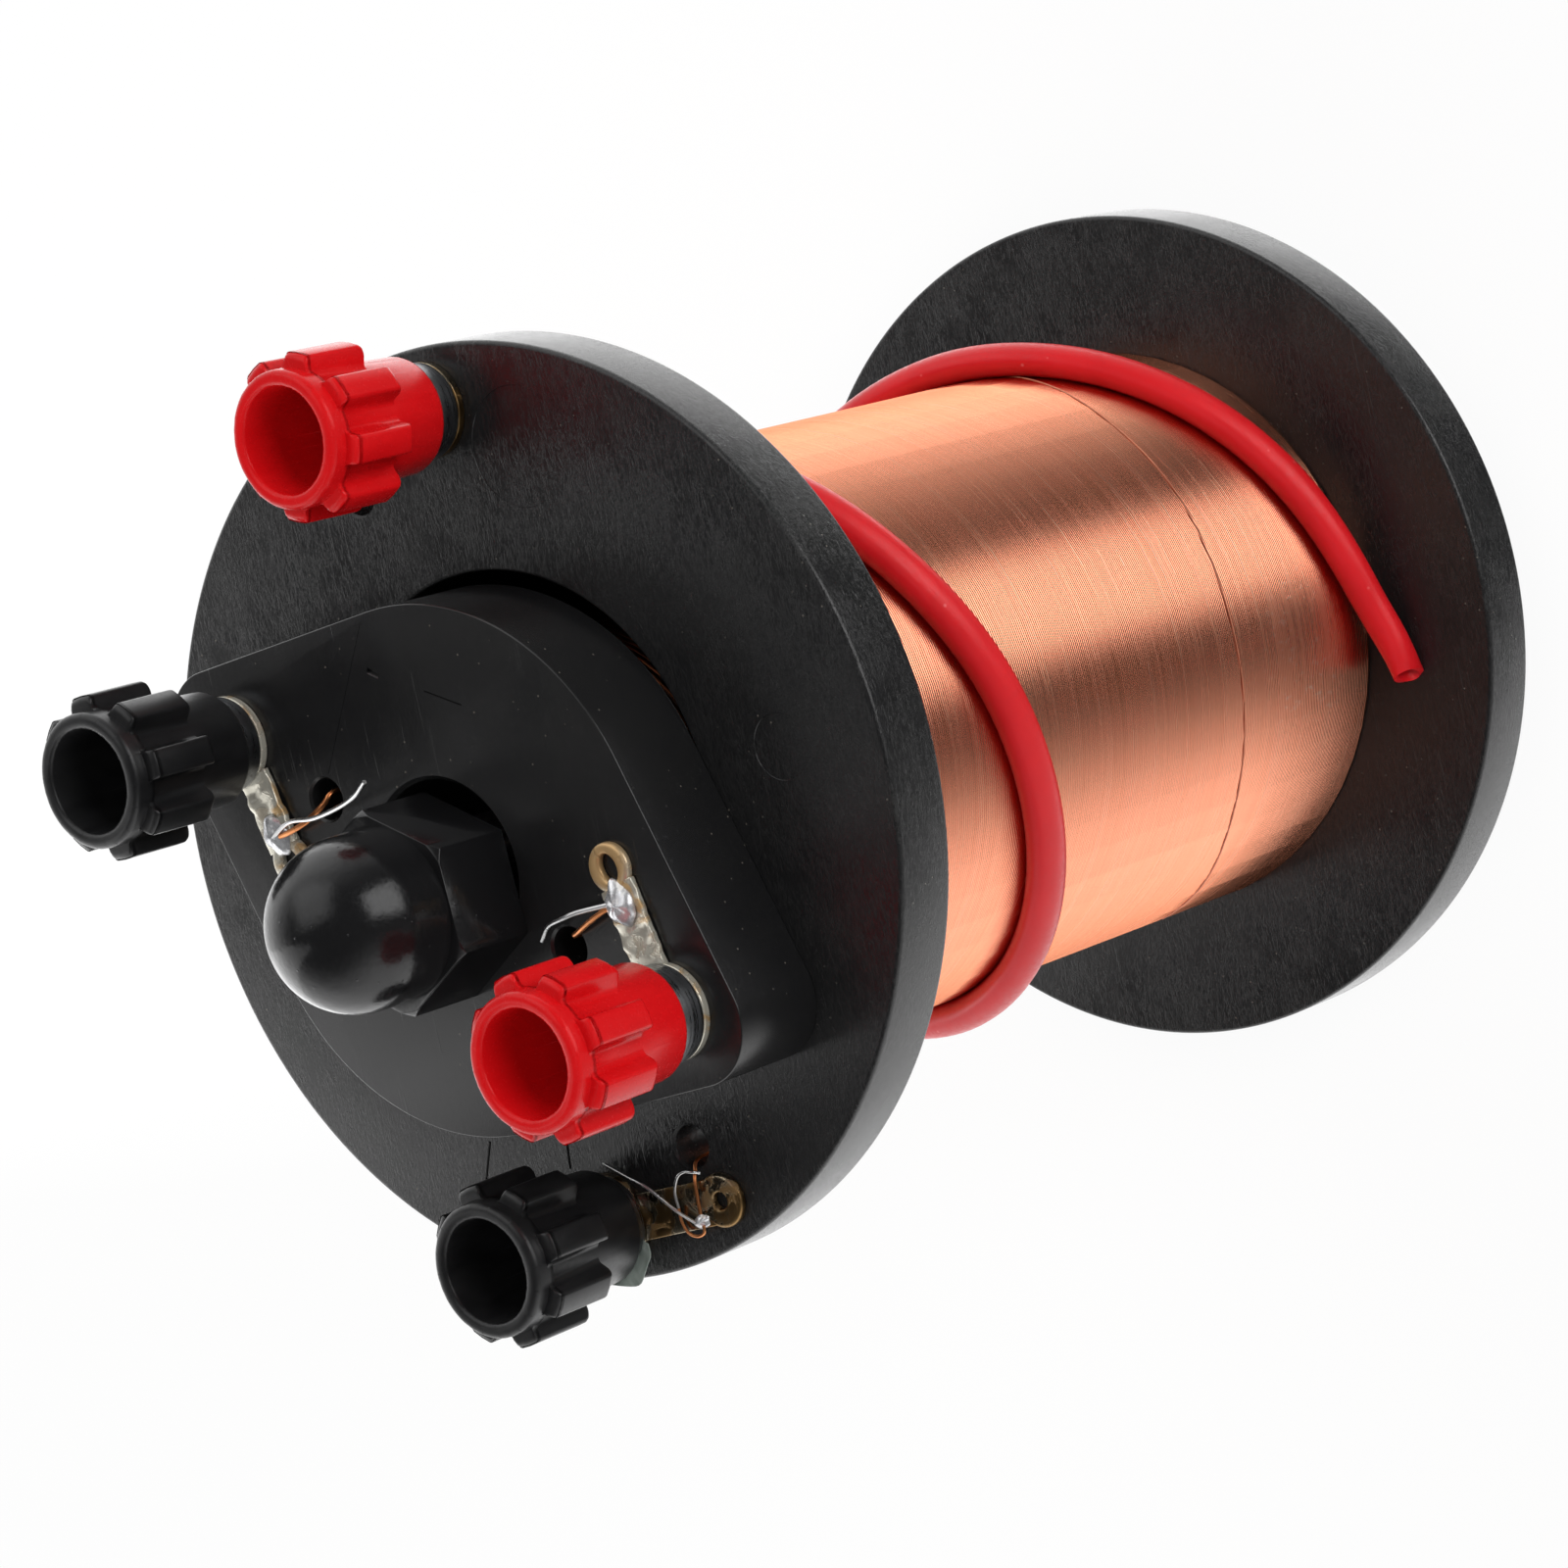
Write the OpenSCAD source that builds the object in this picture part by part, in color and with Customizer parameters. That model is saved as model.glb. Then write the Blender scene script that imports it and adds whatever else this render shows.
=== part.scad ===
// Classroom induction coil set: a flanged secondary coil, a primary coil that
// lifts out of its bore, and an iron core that lifts out of the primary.
// The coil axis is Z. The set stands on the rear flange, terminals on top.
// Lengths are in millimetres and angles in degrees.

/* [Secondary bobbin] */
// Diameter of the two round flanges
flange_d = 76; // [72:1:90]
// Thickness of each flange
flange_t = 6; // [5:0.5:8]
// Length of the winding between the flanges
winding_len = 78; // [70:1:110]
// Diameter of the bore that takes the primary
bore_d = 39.6; // [39.6:0.2:41]
// Wall of the tube that the winding is wound on
former_wall = 1.5; // [1:0.1:2]
// Depth of the seat that each flange has for the tube
former_seat = 2; // [1:0.5:3]
// Depth of the winding on its tube
winding_depth = 4.35; // [3.5:0.05:5]

/* [Outer turns of the winding] */
// Number of turns in the layer that shows
turn_count = 24; // [6:1:24]
// Thickness of the wire of that layer
turn_wire_d = 0.5; // [0.3:0.1:0.8]

/* [Red sleeve] */
// Outer diameter of the sleeve
sleeve_d = 3; // [2.4:0.1:3.2]
// Bore of the sleeve
sleeve_bore_d = 2; // [1:0.1:2]

/* [Primary coil] */
// Thickness of the head plate
head_t = 9; // [8:0.5:12]
// How far the round middle of the head plate laps over the bore of the secondary
head_lap = 1.5; // [1:0.1:3]
// Distance from the middle of the head to a binding post
head_post_r = 24; // [23:0.5:26]
// Distance from a binding post to the tip circle of its ear
ear_tip_offset = 2; // [1:0.5:3]
// Radius of the rounded tip of an ear
ear_tip_r = 5; // [4.5:0.1:6]
// Direction of the ear that carries the black post
ear_angle = 57.2; // [45:0.1:70]
// Diameter of the bore that takes the core
core_bore_d = 14.8; // [14.6:0.1:16]
// Wall of the tube that the primary is wound on
primary_wall = 1.6; // [1:0.1:2]
// Play that the collar at the far end of the primary has in the bore, on each side
primary_play = 3.1; // [3:0.05:4]
// Thickness of that collar
end_collar_t = 3; // [2:0.5:5]
// How far that collar stands out over the primary winding
collar_step = 0.7; // [0.3:0.1:1.5]
// Height of the far end of the primary over the table
primary_end_gap = 6; // [4:0.5:20]
// How far the primary lies from the coil axis, along X
primary_shift_x = -2.48; // [-2.5:0.01:0]
// How far the primary lies from the coil axis, along Y
primary_shift_y = 0.76; // [0:0.01:0.8]

/* [Iron core] */
// Diameter of the iron rod
core_d = 10.6; // [10:0.1:10.8]
// Height of the far end of the rod over the table
core_end_gap = 5; // [3:0.5:20]
// Length of the rod end that is screwed into the knob
core_screw_len = 6; // [4:0.5:7]
// Step from the rod to that end
core_step = 1; // [0.5:0.1:1.5]
// How far the core lies from the middle of the primary, along X
core_shift_x = -1.7; // [-1.7:0.05:0]
// Size of the knob across its flats
knob_flats = 14.3; // [14:0.1:16]
// Height of the hexagon of the knob
knob_hex_h = 7.5; // [7.5:0.5:10]
// Height of the straight part of the dome
knob_neck_h = 3.3; // [2:0.1:5]
// Diameter of the dome
knob_dome_d = 13.9; // [13:0.1:13.9]
// Chamfer at the corners of the hexagon
knob_chamfer = 0.5; // [0.2:0.1:0.8]
// Turn of the knob
knob_turn = 2; // [0:1:60]

/* [Binding posts] */
// Distance from the flange rim to the axis of a binding post
post_edge = 5; // [4.5:0.5:6]
// Diameter of the threaded stud
stud_d = 6; // [5.6:0.1:6]
// Depth of the stud in the plate that carries it
stud_root = 5; // [3:0.5:5]
// Height of the stud over the plate that carries it
stud_h = 7; // [7:0.1:8]
// Diameter of the plug socket in the stud
socket_d = 4; // [3.8:0.1:4.2]
// Depth of the plug socket
socket_depth = 6; // [5:0.5:6.5]
// Diameter of the round nut that clamps the solder tag
nut_d = 7.8; // [7.4:0.1:7.8]
// Thickness of that nut
nut_t = 2.7; // [2.2:0.1:2.8]
// Outer diameter of the brass bush in the cap
bush_d = 7.6; // [7.2:0.1:7.7]
// Length of the brass bush
bush_len = 2.4; // [2:0.1:2.6]

/* [Post caps] */
// Length of the plastic cap
cap_len = 13.4; // [12:0.1:15]
// Diameter of the cap at its lower end
cap_neck_d = 9.4; // [9.2:0.1:9.8]
// Diameter of the cap between its ribs
cap_body_d = 10.1; // [9.9:0.1:10.5]
// Diameter of the collar at the open end
cap_collar_d = 10.9; // [10.7:0.1:11.2]
// Length of that collar
cap_collar_len = 1.7; // [1.2:0.1:2.5]
// Bore at the open end of the cap
cap_bore_d = 8.4; // [8:0.1:8.6]
// Depth of the recess at the lower end, which sinks over the nut
cap_recess = 1.5; // [1:0.1:1.5]
// Number of ribs round the cap
rib_count = 8; // [6:1:8]
// Width of a rib
rib_w = 2.3; // [1.6:0.1:2.6]
// Length of a rib
rib_len = 6.5; // [5:0.1:7]
// Distance from the open end to the ribs
rib_start = 1.4; // [1:0.1:2]
// Diameter over the ribs
rib_d = 13.3; // [12.6:0.1:14]
// Rounding of the ends of a rib
rib_round = 0.6; // [0.3:0.1:0.8]
// How far the red cap of the secondary is screwed up
secondary_red_lift = 1.05; // [0:0.05:1.5]
// Turn of the red cap of the secondary
secondary_red_turn = 27; // [0:1:45]
// How far the black cap of the secondary is screwed up
secondary_black_lift = 0; // [0:0.05:1.5]
// Turn of the black cap of the secondary
secondary_black_turn = 12; // [0:1:45]
// How far the red cap of the primary is screwed up
primary_red_lift = 1.45; // [0:0.05:1.5]
// Turn of the red cap of the primary
primary_red_turn = 2; // [0:1:45]
// How far the black cap of the primary is screwed up
primary_black_lift = 0.6; // [0:0.05:1.5]
// Turn of the black cap of the primary
primary_black_turn = 36; // [0:1:45]

/* [Solder tags and leads] */
// Thickness of a solder tag
tag_t = 0.7; // [0.5:0.1:0.9]
// Width of the strip of a tag
tag_w = 3.2; // [2.6:0.1:3.6]
// Distance from the post to the eye at the end of its tag
tag_len = 11.2; // [10.4:0.1:12]
// Outer diameter of the eye
tag_eye_d = 4; // [3.6:0.1:4.4]
// Hole in the eye
tag_hole_d = 1.7; // [1.4:0.1:2]
// Direction of the tags of the primary, from the black post
primary_tag_angle = 196.5; // [190:0.5:200]
// Direction of the tags of the secondary, from the black post
secondary_tag_angle = 273.7; // [265:0.1:280]
// Diameter of the solder joint on a tag
solder_d = 3; // [2.4:0.1:3.2]
// Distance from the eye back to the solder joint
solder_back = 3.4; // [3:0.1:4.5]
// Thickness of the leads of the primary
primary_lead_d = 0.8; // [0.6:0.1:1]
// Thickness of the leads of the secondary
secondary_lead_d = 0.6; // [0.4:0.1:0.8]
// Diameter of the holes that the leads come out of
lead_hole_d = 3.4; // [3:0.1:3.6]
// Distance from the middle of the head to a lead hole
primary_lead_r = 13.3; // [12.5:0.1:13.5]
// Distance from a secondary post inwards to its lead hole
secondary_lead_in = 3.6; // [3:0.1:4]
// Angle from a secondary post to its lead hole, round the coil
secondary_lead_angle = 19.6; // [18:0.1:22]

/* [Clearances] */
// Gap between glued or pressed pieces
seat_clear = 0.05; // [0.02:0.01:0.1]
// Running clearance of the caps and bushes
run_clear = 0.05; // [0.02:0.01:0.08]
// Gap between stacked or wound pieces
rest_clear = 0.15; // [0.1:0.05:0.2]
// Gap between a cap and the nut that it sinks over
pass_clear = 0.3; // [0.2:0.05:0.35]

/* [Hidden] */
$fn = 48;

// Heights of the secondary
flange_r = flange_d / 2;
front_z = flange_t + winding_len;
top_z = front_z + flange_t;
former_r = bore_d / 2 + former_wall;
winding_r = former_r + winding_depth;

// The posts of the secondary stand on the X axis, the red one at +X
post_r = flange_r - post_edge;
secondary_lead_r = post_r - secondary_lead_in;

// Outer turns: a helix round a plain core of copper
turn_rings = 24;
turn_sides = 6;
turn_crest_r = winding_r;
turn_path_r = turn_crest_r - turn_wire_d / 2;
turn_sag = turn_path_r * (1 - cos(180 / turn_rings));
winding_core_r = turn_path_r - turn_sag - turn_wire_d / 2 - seat_clear;
turn_pitch = (winding_len - 2 * turn_wire_d - 2 * rest_clear) / turn_count;

// Sleeve: rings every few degrees along a route wound round the outer turns
sleeve_step = 15;
sleeve_sides = 6;
sleeve_sag = turn_crest_r * (1 - cos(sleeve_step / 2));
sleeve_path_r = turn_crest_r + sleeve_sag + rest_clear + sleeve_d / 2;
sleeve_low_z = flange_t + rest_clear + sleeve_d / 2;
sleeve_high_z = front_z - rest_clear - sleeve_d / 2;
// Route: angle round the axis, share of the way between the flanges, and how
// far the sleeve stands off the turns. The open end lies on the rear flange.
sleeve_route = [
    [-105, 0, 3.5],
    [-90, 0.02, 0.75],
    [-60, 0.076, 0],
    [-30, 0.145, 0],
    [-12, 0.185, 0],
    [25, 0.23, 0],
    [90, 0.35, 0],
    [160, 0.485, 0],
    [225, 0.61, 0],
    [270, 0.71, 0],
    [300, 0.79, 0],
    [330, 0.865, 0],
    [360, 0.955, 0],
    [375, 1, 0],
];

// Primary and core, as they lie against one side of the bores that hold them
head_top_z = top_z + head_t;
head_r = bore_d / 2 + head_lap;
ear_reach = head_post_r + ear_tip_offset;
ear_half_angle = asin((head_r - ear_tip_r) / ear_reach);
ear_inset = 0.02;
primary_tube_r = core_bore_d / 2 + primary_wall;
primary_len = top_z - primary_end_gap;
end_collar_r = bore_d / 2 - primary_play;
primary_winding_r = end_collar_r - collar_step;
core_len = head_top_z - core_end_gap;
core_screw_r = core_d / 2 - core_step;
knob_corner_r = knob_flats / 2 / cos(30);
knob_top_r = knob_dome_d / 2;

// Binding posts: a nut on its tag, and a cap screwed right down over that nut
nut_z = tag_t;
cap_low_z = nut_z + nut_t + rest_clear - cap_recess;
// Heights in a cap, from its lower end
bush_z = cap_recess + rest_clear;
cap_floor_z = bush_z + bush_len + rest_clear;
cap_neck_round = 0.4;
red_tint = "#dd2c35";
black_tint = "#1b1b1d";
solder_sink = solder_d / 6;
// A lead bows up to this share of the height of its joint
lead_rise = 1.2;
lead_bend_steps = 8;
lead_sides = 8;

// Turn of each post about the middle of what carries it
black_side = 0;
red_side = 180;

// Helpers
module ring(outer_r, inner_r, height) {
    difference() {
        cylinder(r = outer_r, h = height);
        translate([0, 0, -1]) cylinder(r = inner_r, h = height + 2);
    }
}

// Faces of a tube between rings of points, four corners to two triangles
function skin(rings, sides, flip) = [
    for (i = [0 : rings - 2], k = [0 : sides - 1])
        let (a = i * sides + k, b = i * sides + (k + 1) % sides)
        let (c = b + sides, d = a + sides)
        each flip ? [[a, b, c], [a, c, d]] : [[a, c, b], [a, d, c]]
];
function shifted(faces, by) = [for (face = faces) [for (corner = face) corner + by]];

// A ring of points about a path point, square to the direction of the path.
// The path never runs along the reference direction.
function unit(v) = v / norm(v);
function ring_points(path, i, radius, sides, reference) =
    let (ahead = path[min(i + 1, len(path) - 1)], behind = path[max(i - 1, 0)])
    let (along = unit(ahead - behind))
    let (side = unit(cross(reference, along)), up = cross(along, side))
    [for (k = [0 : sides - 1]) path[i] + radius * (cos(k * 360 / sides) * side + sin(k * 360 / sides) * up)];
function tube_points(path, radius, sides, reference = [0, 0, 1]) = [
    for (i = [0 : len(path) - 1]) each ring_points(path, i, radius, sides, reference)
];
// Solid wire along a path
module wire(path, diameter, sides, reference = [0, 0, 1]) {
    last = (len(path) - 1) * sides;
    ends = [[for (k = [0 : sides - 1]) k], [for (k = [sides - 1 : -1 : 0]) last + k]];
    faces = concat(skin(len(path), sides, false), ends);
    polyhedron(tube_points(path, diameter / 2, sides, reference), faces);
}
// Least gap of a wound tube to itself, between points half a turn or more apart
function self_gap(path, apart, diameter) = min([
    for (i = [0 : len(path) - 1])
        for (j = [i + apart : 1 : len(path) - 1])
            norm(path[i] - path[j]) - diameter
]);

// Paths of the two wound pieces
turn_path = [
    for (i = [0 : turn_count * turn_rings])
        let (angle = i * 360 / turn_rings)
        [turn_path_r * cos(angle), turn_path_r * sin(angle),
         flange_t + turn_wire_d + rest_clear + turn_pitch * i / turn_rings]
];
function route_leg(angle, i = 0) =
    i + 2 >= len(sleeve_route) || angle <= sleeve_route[i + 1][0] ? i : route_leg(angle, i + 1);
// Slope of the route at a listed point, from its two neighbours
function route_slope(i, col) =
    let (before = sleeve_route[max(i - 1, 0)], after = sleeve_route[min(i + 1, len(sleeve_route) - 1)])
    (after[col] - before[col]) / (after[0] - before[0]);
// Smooth value between two listed points
function route_value(angle, col) =
    let (i = route_leg(angle), a = sleeve_route[i], b = sleeve_route[i + 1])
    let (span = b[0] - a[0], t = (angle - a[0]) / span)
    a[col] * (1 + 2 * t) * (1 - t) * (1 - t) + route_slope(i, col) * span * t * (1 - t) * (1 - t)
    + b[col] * t * t * (3 - 2 * t) + route_slope(i + 1, col) * span * t * t * (t - 1);
sleeve_path = [
    for (angle = [sleeve_route[0][0] : sleeve_step : sleeve_route[len(sleeve_route) - 1][0]])
        let (share = min(1, max(0, route_value(angle, 1))), off = max(0, route_value(angle, 2)))
        [(sleeve_path_r + off) * cos(angle), (sleeve_path_r + off) * sin(angle),
         sleeve_low_z + share * (sleeve_high_z - sleeve_low_z)]
];
echo(outer_turns_gap = self_gap(turn_path, turn_rings / 2, turn_wire_d));
echo(red_sleeve_gap = self_gap(sleeve_path, 180 / sleeve_step, sleeve_d));

// Flanges and the tube between them
module flange_blank(seat_z) {
    difference() {
        cylinder(d = flange_d, h = flange_t);
        translate([0, 0, -1]) cylinder(d = bore_d, h = flange_t + 2);
        translate([0, 0, seat_z]) cylinder(r = former_r + seat_clear, h = former_seat);
    }
}
module stud_hole() {
    translate([0, 0, -stud_root]) cylinder(d = stud_d + 2 * seat_clear, h = stud_root + 1);
}
module lead_hole(depth) {
    translate([0, 0, -depth - 1]) cylinder(d = lead_hole_d, h = depth + 2);
}
module rear_flange() {
    color("#262628") flange_blank(flange_t - former_seat);
}
module front_flange() {
    color("#262628")
        difference() {
            translate([0, 0, front_z]) flange_blank(0);
            for (side = [black_side, red_side]) rotate(side) {
                translate([-post_r, 0, top_z]) stud_hole();
                rotate(secondary_lead_angle)
                    translate([-secondary_lead_r, 0, top_z]) lead_hole(flange_t);
            }
        }
}
module secondary_former() {
    color("#1f1f21")
        translate([0, 0, flange_t - former_seat + seat_clear])
            ring(former_r, bore_d / 2, winding_len + 2 * (former_seat - seat_clear));
}

// Secondary winding, its outer layer of turns and the sleeve wound over them
module secondary_winding() {
    color("#b98a70")
        translate([0, 0, flange_t + seat_clear])
            ring(winding_core_r, former_r + seat_clear, winding_len - 2 * seat_clear);
}
module outer_turns() {
    color("#c79a7e") wire(turn_path, turn_wire_d, turn_sides);
}
module red_sleeve() {
    rings = len(sleeve_path);
    count = rings * sleeve_sides;
    last = (rings - 1) * sleeve_sides;
    outer = tube_points(sleeve_path, sleeve_d / 2, sleeve_sides);
    inner = tube_points(sleeve_path, sleeve_bore_d / 2, sleeve_sides);
    rims = [
        for (k = [0 : sleeve_sides - 1])
            let (n = (k + 1) % sleeve_sides)
            each [[k, n, n + count], [k, n + count, k + count],
                  [last + k, last + n + count, last + n], [last + k, last + k + count, last + n + count]]
    ];
    walls = concat(skin(rings, sleeve_sides, false), shifted(skin(rings, sleeve_sides, true), count));
    color("#d8232e") polyhedron(concat(outer, inner), concat(walls, rims));
}

// Places that carry a post: the secondary on X, the primary on its ears
module at_secondary(side) {
    rotate(side) translate([-post_r, 0, top_z]) children();
}
module at_primary(side) {
    translate([primary_shift_x, primary_shift_y, head_top_z])
        rotate(ear_angle + side) translate([head_post_r, 0, 0]) children();
}
// Direction of a tag in the frame of its post
secondary_tag_turn = secondary_tag_angle - black_side;
primary_tag_turn = primary_tag_angle - ear_angle;

// Pieces of a binding post, standing on z = 0 about the post axis
module stud() {
    color("#b9bbbf")
        difference() {
            translate([0, 0, seat_clear - stud_root])
                cylinder(d = stud_d, h = stud_root - seat_clear + stud_h);
            translate([0, 0, stud_h - socket_depth]) cylinder(d = socket_d, h = socket_depth + 1);
        }
}
module clamp_nut() {
    color("#9a9da2") translate([0, 0, nut_z]) ring(nut_d / 2, stud_d / 2 + seat_clear, nut_t);
}
module solder_tag(turn) {
    color("#b3a27d")
        rotate(turn)
            linear_extrude(tag_t)
                difference() {
                    union() {
                        circle(d = nut_d);
                        translate([0, -tag_w / 2]) square([tag_len, tag_w]);
                        translate([tag_len, 0]) circle(d = tag_eye_d);
                    }
                    circle(d = stud_d + 2 * seat_clear);
                    translate([tag_len, 0]) circle(d = tag_hole_d);
                }
}
module solder_joint(turn) {
    color("#c9cbd0")
        rotate(turn)
            translate([tag_len - solder_back, 0, tag_t])
                intersection() {
                    translate([0, 0, -solder_sink]) sphere(d = solder_d);
                    translate([-solder_d, -solder_d, 0]) cube([2 * solder_d, 2 * solder_d, solder_d]);
                }
}
module bush(lift) {
    color("#c2a14d")
        translate([0, 0, cap_low_z + lift + bush_z]) ring(bush_d / 2, stud_d / 2 + run_clear, bush_len);
}
module cap_rib() {
    reach = rib_d / 2;
    rotate([90, 0, 0])
        translate([0, 0, -rib_w / 2])
            linear_extrude(rib_w)
                translate([0, cap_len - rib_start - rib_len]) {
                    inner = cap_bore_d / 2 + (cap_neck_d - cap_bore_d) / 4;
                    translate([inner, 0]) square([reach - rib_round - inner, rib_len]);
                    translate([inner, rib_round]) square([reach - inner, rib_len - 2 * rib_round]);
                    for (end = [rib_round, rib_len - rib_round])
                        translate([reach - rib_round, end]) circle(r = rib_round);
                }
}
module cap(tint, lift, turn) {
    shoulder = cap_len - cap_collar_len;
    lip = (cap_collar_d - cap_bore_d) / 4;
    color(tint)
        translate([0, 0, cap_low_z + lift]) rotate(turn)
            difference() {
                union() {
                    rotate_extrude()
                        polygon([
                            [0, 0],
                            [cap_neck_d / 2 - cap_neck_round, 0],
                            [cap_neck_d / 2, cap_neck_round],
                            [cap_body_d / 2, shoulder - lip],
                            [cap_collar_d / 2, shoulder],
                            [cap_collar_d / 2, cap_len - lip],
                            [cap_collar_d / 2 - lip, cap_len],
                            [0, cap_len],
                        ]);
                    for (i = [0 : rib_count - 1]) rotate(i * 360 / rib_count) cap_rib();
                }
                translate([0, 0, -1]) cylinder(d = nut_d + 2 * pass_clear, h = cap_recess + 1);
                cylinder(d = bush_d + 2 * run_clear, h = cap_len);
                translate([0, 0, cap_floor_z]) cylinder(d = cap_bore_d, h = cap_len);
            }
}

// Lead of a post: up out of its hole, then bent over onto the solder joint
module lead(hole, turn, diameter) {
    reach = tag_len - solder_back;
    low = [hole[0], hole[1], diameter - flange_t];
    mouth = [hole[0], hole[1], 0];
    joint_z = tag_t + solder_d / 2 - solder_sink + diameter / 2 + seat_clear;
    joint = [reach * cos(turn), reach * sin(turn), joint_z];
    over = [hole[0], hole[1], lead_rise * joint_z];
    bend = [
        for (t = [0 : 1 / lead_bend_steps : 1])
            (1 - t) * (1 - t) * mouth + 2 * t * (1 - t) * over + t * t * joint
    ];
    across = [hole[1] - joint[1], joint[0] - hole[0], 0];
    color("#c8703a") wire(concat([low], bend), diameter, lead_sides, across);
}
// Place of a lead hole, seen from the post
secondary_hole = [
    post_r - secondary_lead_r * cos(secondary_lead_angle),
    -secondary_lead_r * sin(secondary_lead_angle),
];
primary_hole = [primary_lead_r - head_post_r, 0];
module secondary_lead() { lead(secondary_hole, secondary_tag_turn, secondary_lead_d); }
module primary_lead() { lead(primary_hole, primary_tag_turn, primary_lead_d); }

// The four posts, piece by piece. A stud is round and keeps the direction of the frame.
module secondary_red_stud() { at_secondary(red_side) stud(); }
module secondary_red_nut() { at_secondary(red_side) clamp_nut(); }
module secondary_red_tag() { at_secondary(red_side) solder_tag(secondary_tag_turn); }
module secondary_red_solder() { at_secondary(red_side) solder_joint(secondary_tag_turn); }
module secondary_red_lead() { at_secondary(red_side) secondary_lead(); }
module secondary_red_bush() { at_secondary(red_side) bush(secondary_red_lift); }
module secondary_red_cap() {
    at_secondary(red_side) cap(red_tint, secondary_red_lift, secondary_red_turn);
}
module secondary_black_stud() { at_secondary(black_side) stud(); }
module secondary_black_nut() { at_secondary(black_side) clamp_nut(); }
module secondary_black_tag() { at_secondary(black_side) solder_tag(secondary_tag_turn); }
module secondary_black_solder() { at_secondary(black_side) solder_joint(secondary_tag_turn); }
module secondary_black_lead() { at_secondary(black_side) secondary_lead(); }
module secondary_black_bush() { at_secondary(black_side) bush(secondary_black_lift); }
module secondary_black_cap() {
    at_secondary(black_side) cap(black_tint, secondary_black_lift, secondary_black_turn);
}
module primary_red_stud() { at_primary(red_side) rotate(-ear_angle - red_side) stud(); }
module primary_red_nut() { at_primary(red_side) clamp_nut(); }
module primary_red_tag() { at_primary(red_side) solder_tag(primary_tag_turn); }
module primary_red_solder() { at_primary(red_side) solder_joint(primary_tag_turn); }
module primary_red_lead() { at_primary(red_side) primary_lead(); }
module primary_red_bush() { at_primary(red_side) bush(primary_red_lift); }
module primary_red_cap() {
    at_primary(red_side) cap(red_tint, primary_red_lift, primary_red_turn);
}
module primary_black_stud() { at_primary(black_side) rotate(-ear_angle - black_side) stud(); }
module primary_black_nut() { at_primary(black_side) clamp_nut(); }
module primary_black_tag() { at_primary(black_side) solder_tag(primary_tag_turn); }
module primary_black_solder() { at_primary(black_side) solder_joint(primary_tag_turn); }
module primary_black_lead() { at_primary(black_side) primary_lead(); }
module primary_black_bush() { at_primary(black_side) bush(primary_black_lift); }
module primary_black_cap() {
    at_primary(black_side) cap(black_tint, primary_black_lift, primary_black_turn);
}

// Primary: an eye-shaped head on a wound tube with a collar at its far end
module at_core_bore(z) {
    translate([primary_shift_x, primary_shift_y, z]) children();
}
module head_outline() {
    circle(r = head_r, $fn = 96);
    for (side = [black_side, red_side]) rotate(side) {
        translate([ear_reach, 0]) circle(r = ear_tip_r);
        // Straight sides, from just inside the points where they touch the two circles
        tangent = [sin(ear_half_angle), cos(ear_half_angle)];
        middle = (head_r - ear_inset) * tangent;
        tip = [ear_reach, 0] + (ear_tip_r - ear_inset) * tangent;
        polygon([[0, 0], [middle[0], -middle[1]], [tip[0], -tip[1]], tip, middle]);
    }
}
module primary_head() {
    color("#242426")
        at_core_bore(top_z)
            difference() {
                rotate(ear_angle) linear_extrude(head_t) head_outline();
                translate([0, 0, -1]) cylinder(d = core_bore_d, h = head_t + 2);
                for (side = [black_side, red_side]) rotate(ear_angle + side) {
                    translate([primary_lead_r, 0, head_t]) lead_hole(head_t);
                    translate([head_post_r, 0, head_t]) stud_hole();
                }
            }
}
module primary_former() {
    color("#1f1f21")
        at_core_bore(primary_end_gap) ring(primary_tube_r, core_bore_d / 2, primary_len - seat_clear);
}
module primary_winding() {
    length = primary_len - end_collar_t - 2 * rest_clear;
    color("#b0643a")
        at_core_bore(primary_end_gap + end_collar_t + rest_clear)
            ring(primary_winding_r, primary_tube_r + run_clear, length);
}
module primary_end_collar() {
    color("#242426")
        at_core_bore(primary_end_gap) ring(end_collar_r, primary_tube_r + seat_clear, end_collar_t);
}

// Iron core: a rod screwed into a domed hexagonal knob that rests on the head
module at_core(z) {
    translate([primary_shift_x + core_shift_x, primary_shift_y, z]) children();
}
module core_rod() {
    color("#6e6a66")
        at_core(core_end_gap) {
            cylinder(d = core_d, h = core_len - rest_clear);
            cylinder(r = core_screw_r, h = core_len + core_screw_len - rest_clear);
        }
}
module core_knob() {
    edge = knob_corner_r - knob_chamfer;
    color("#19191b")
        at_core(head_top_z)
            difference() {
                union() {
                    intersection() {
                        rotate(knob_turn) cylinder(r = knob_corner_r, h = knob_hex_h, $fn = 6);
                        rotate_extrude()
                            polygon([
                                [0, -1], [edge + knob_hex_h + 1, -1], [edge, knob_hex_h], [0, knob_hex_h],
                            ]);
                    }
                    cylinder(r = knob_top_r, h = knob_hex_h + knob_neck_h);
                    translate([0, 0, knob_hex_h + knob_neck_h]) sphere(r = knob_top_r);
                }
                translate([0, 0, -1]) cylinder(r = core_screw_r + run_clear, h = core_screw_len + 1);
            }
}

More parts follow.
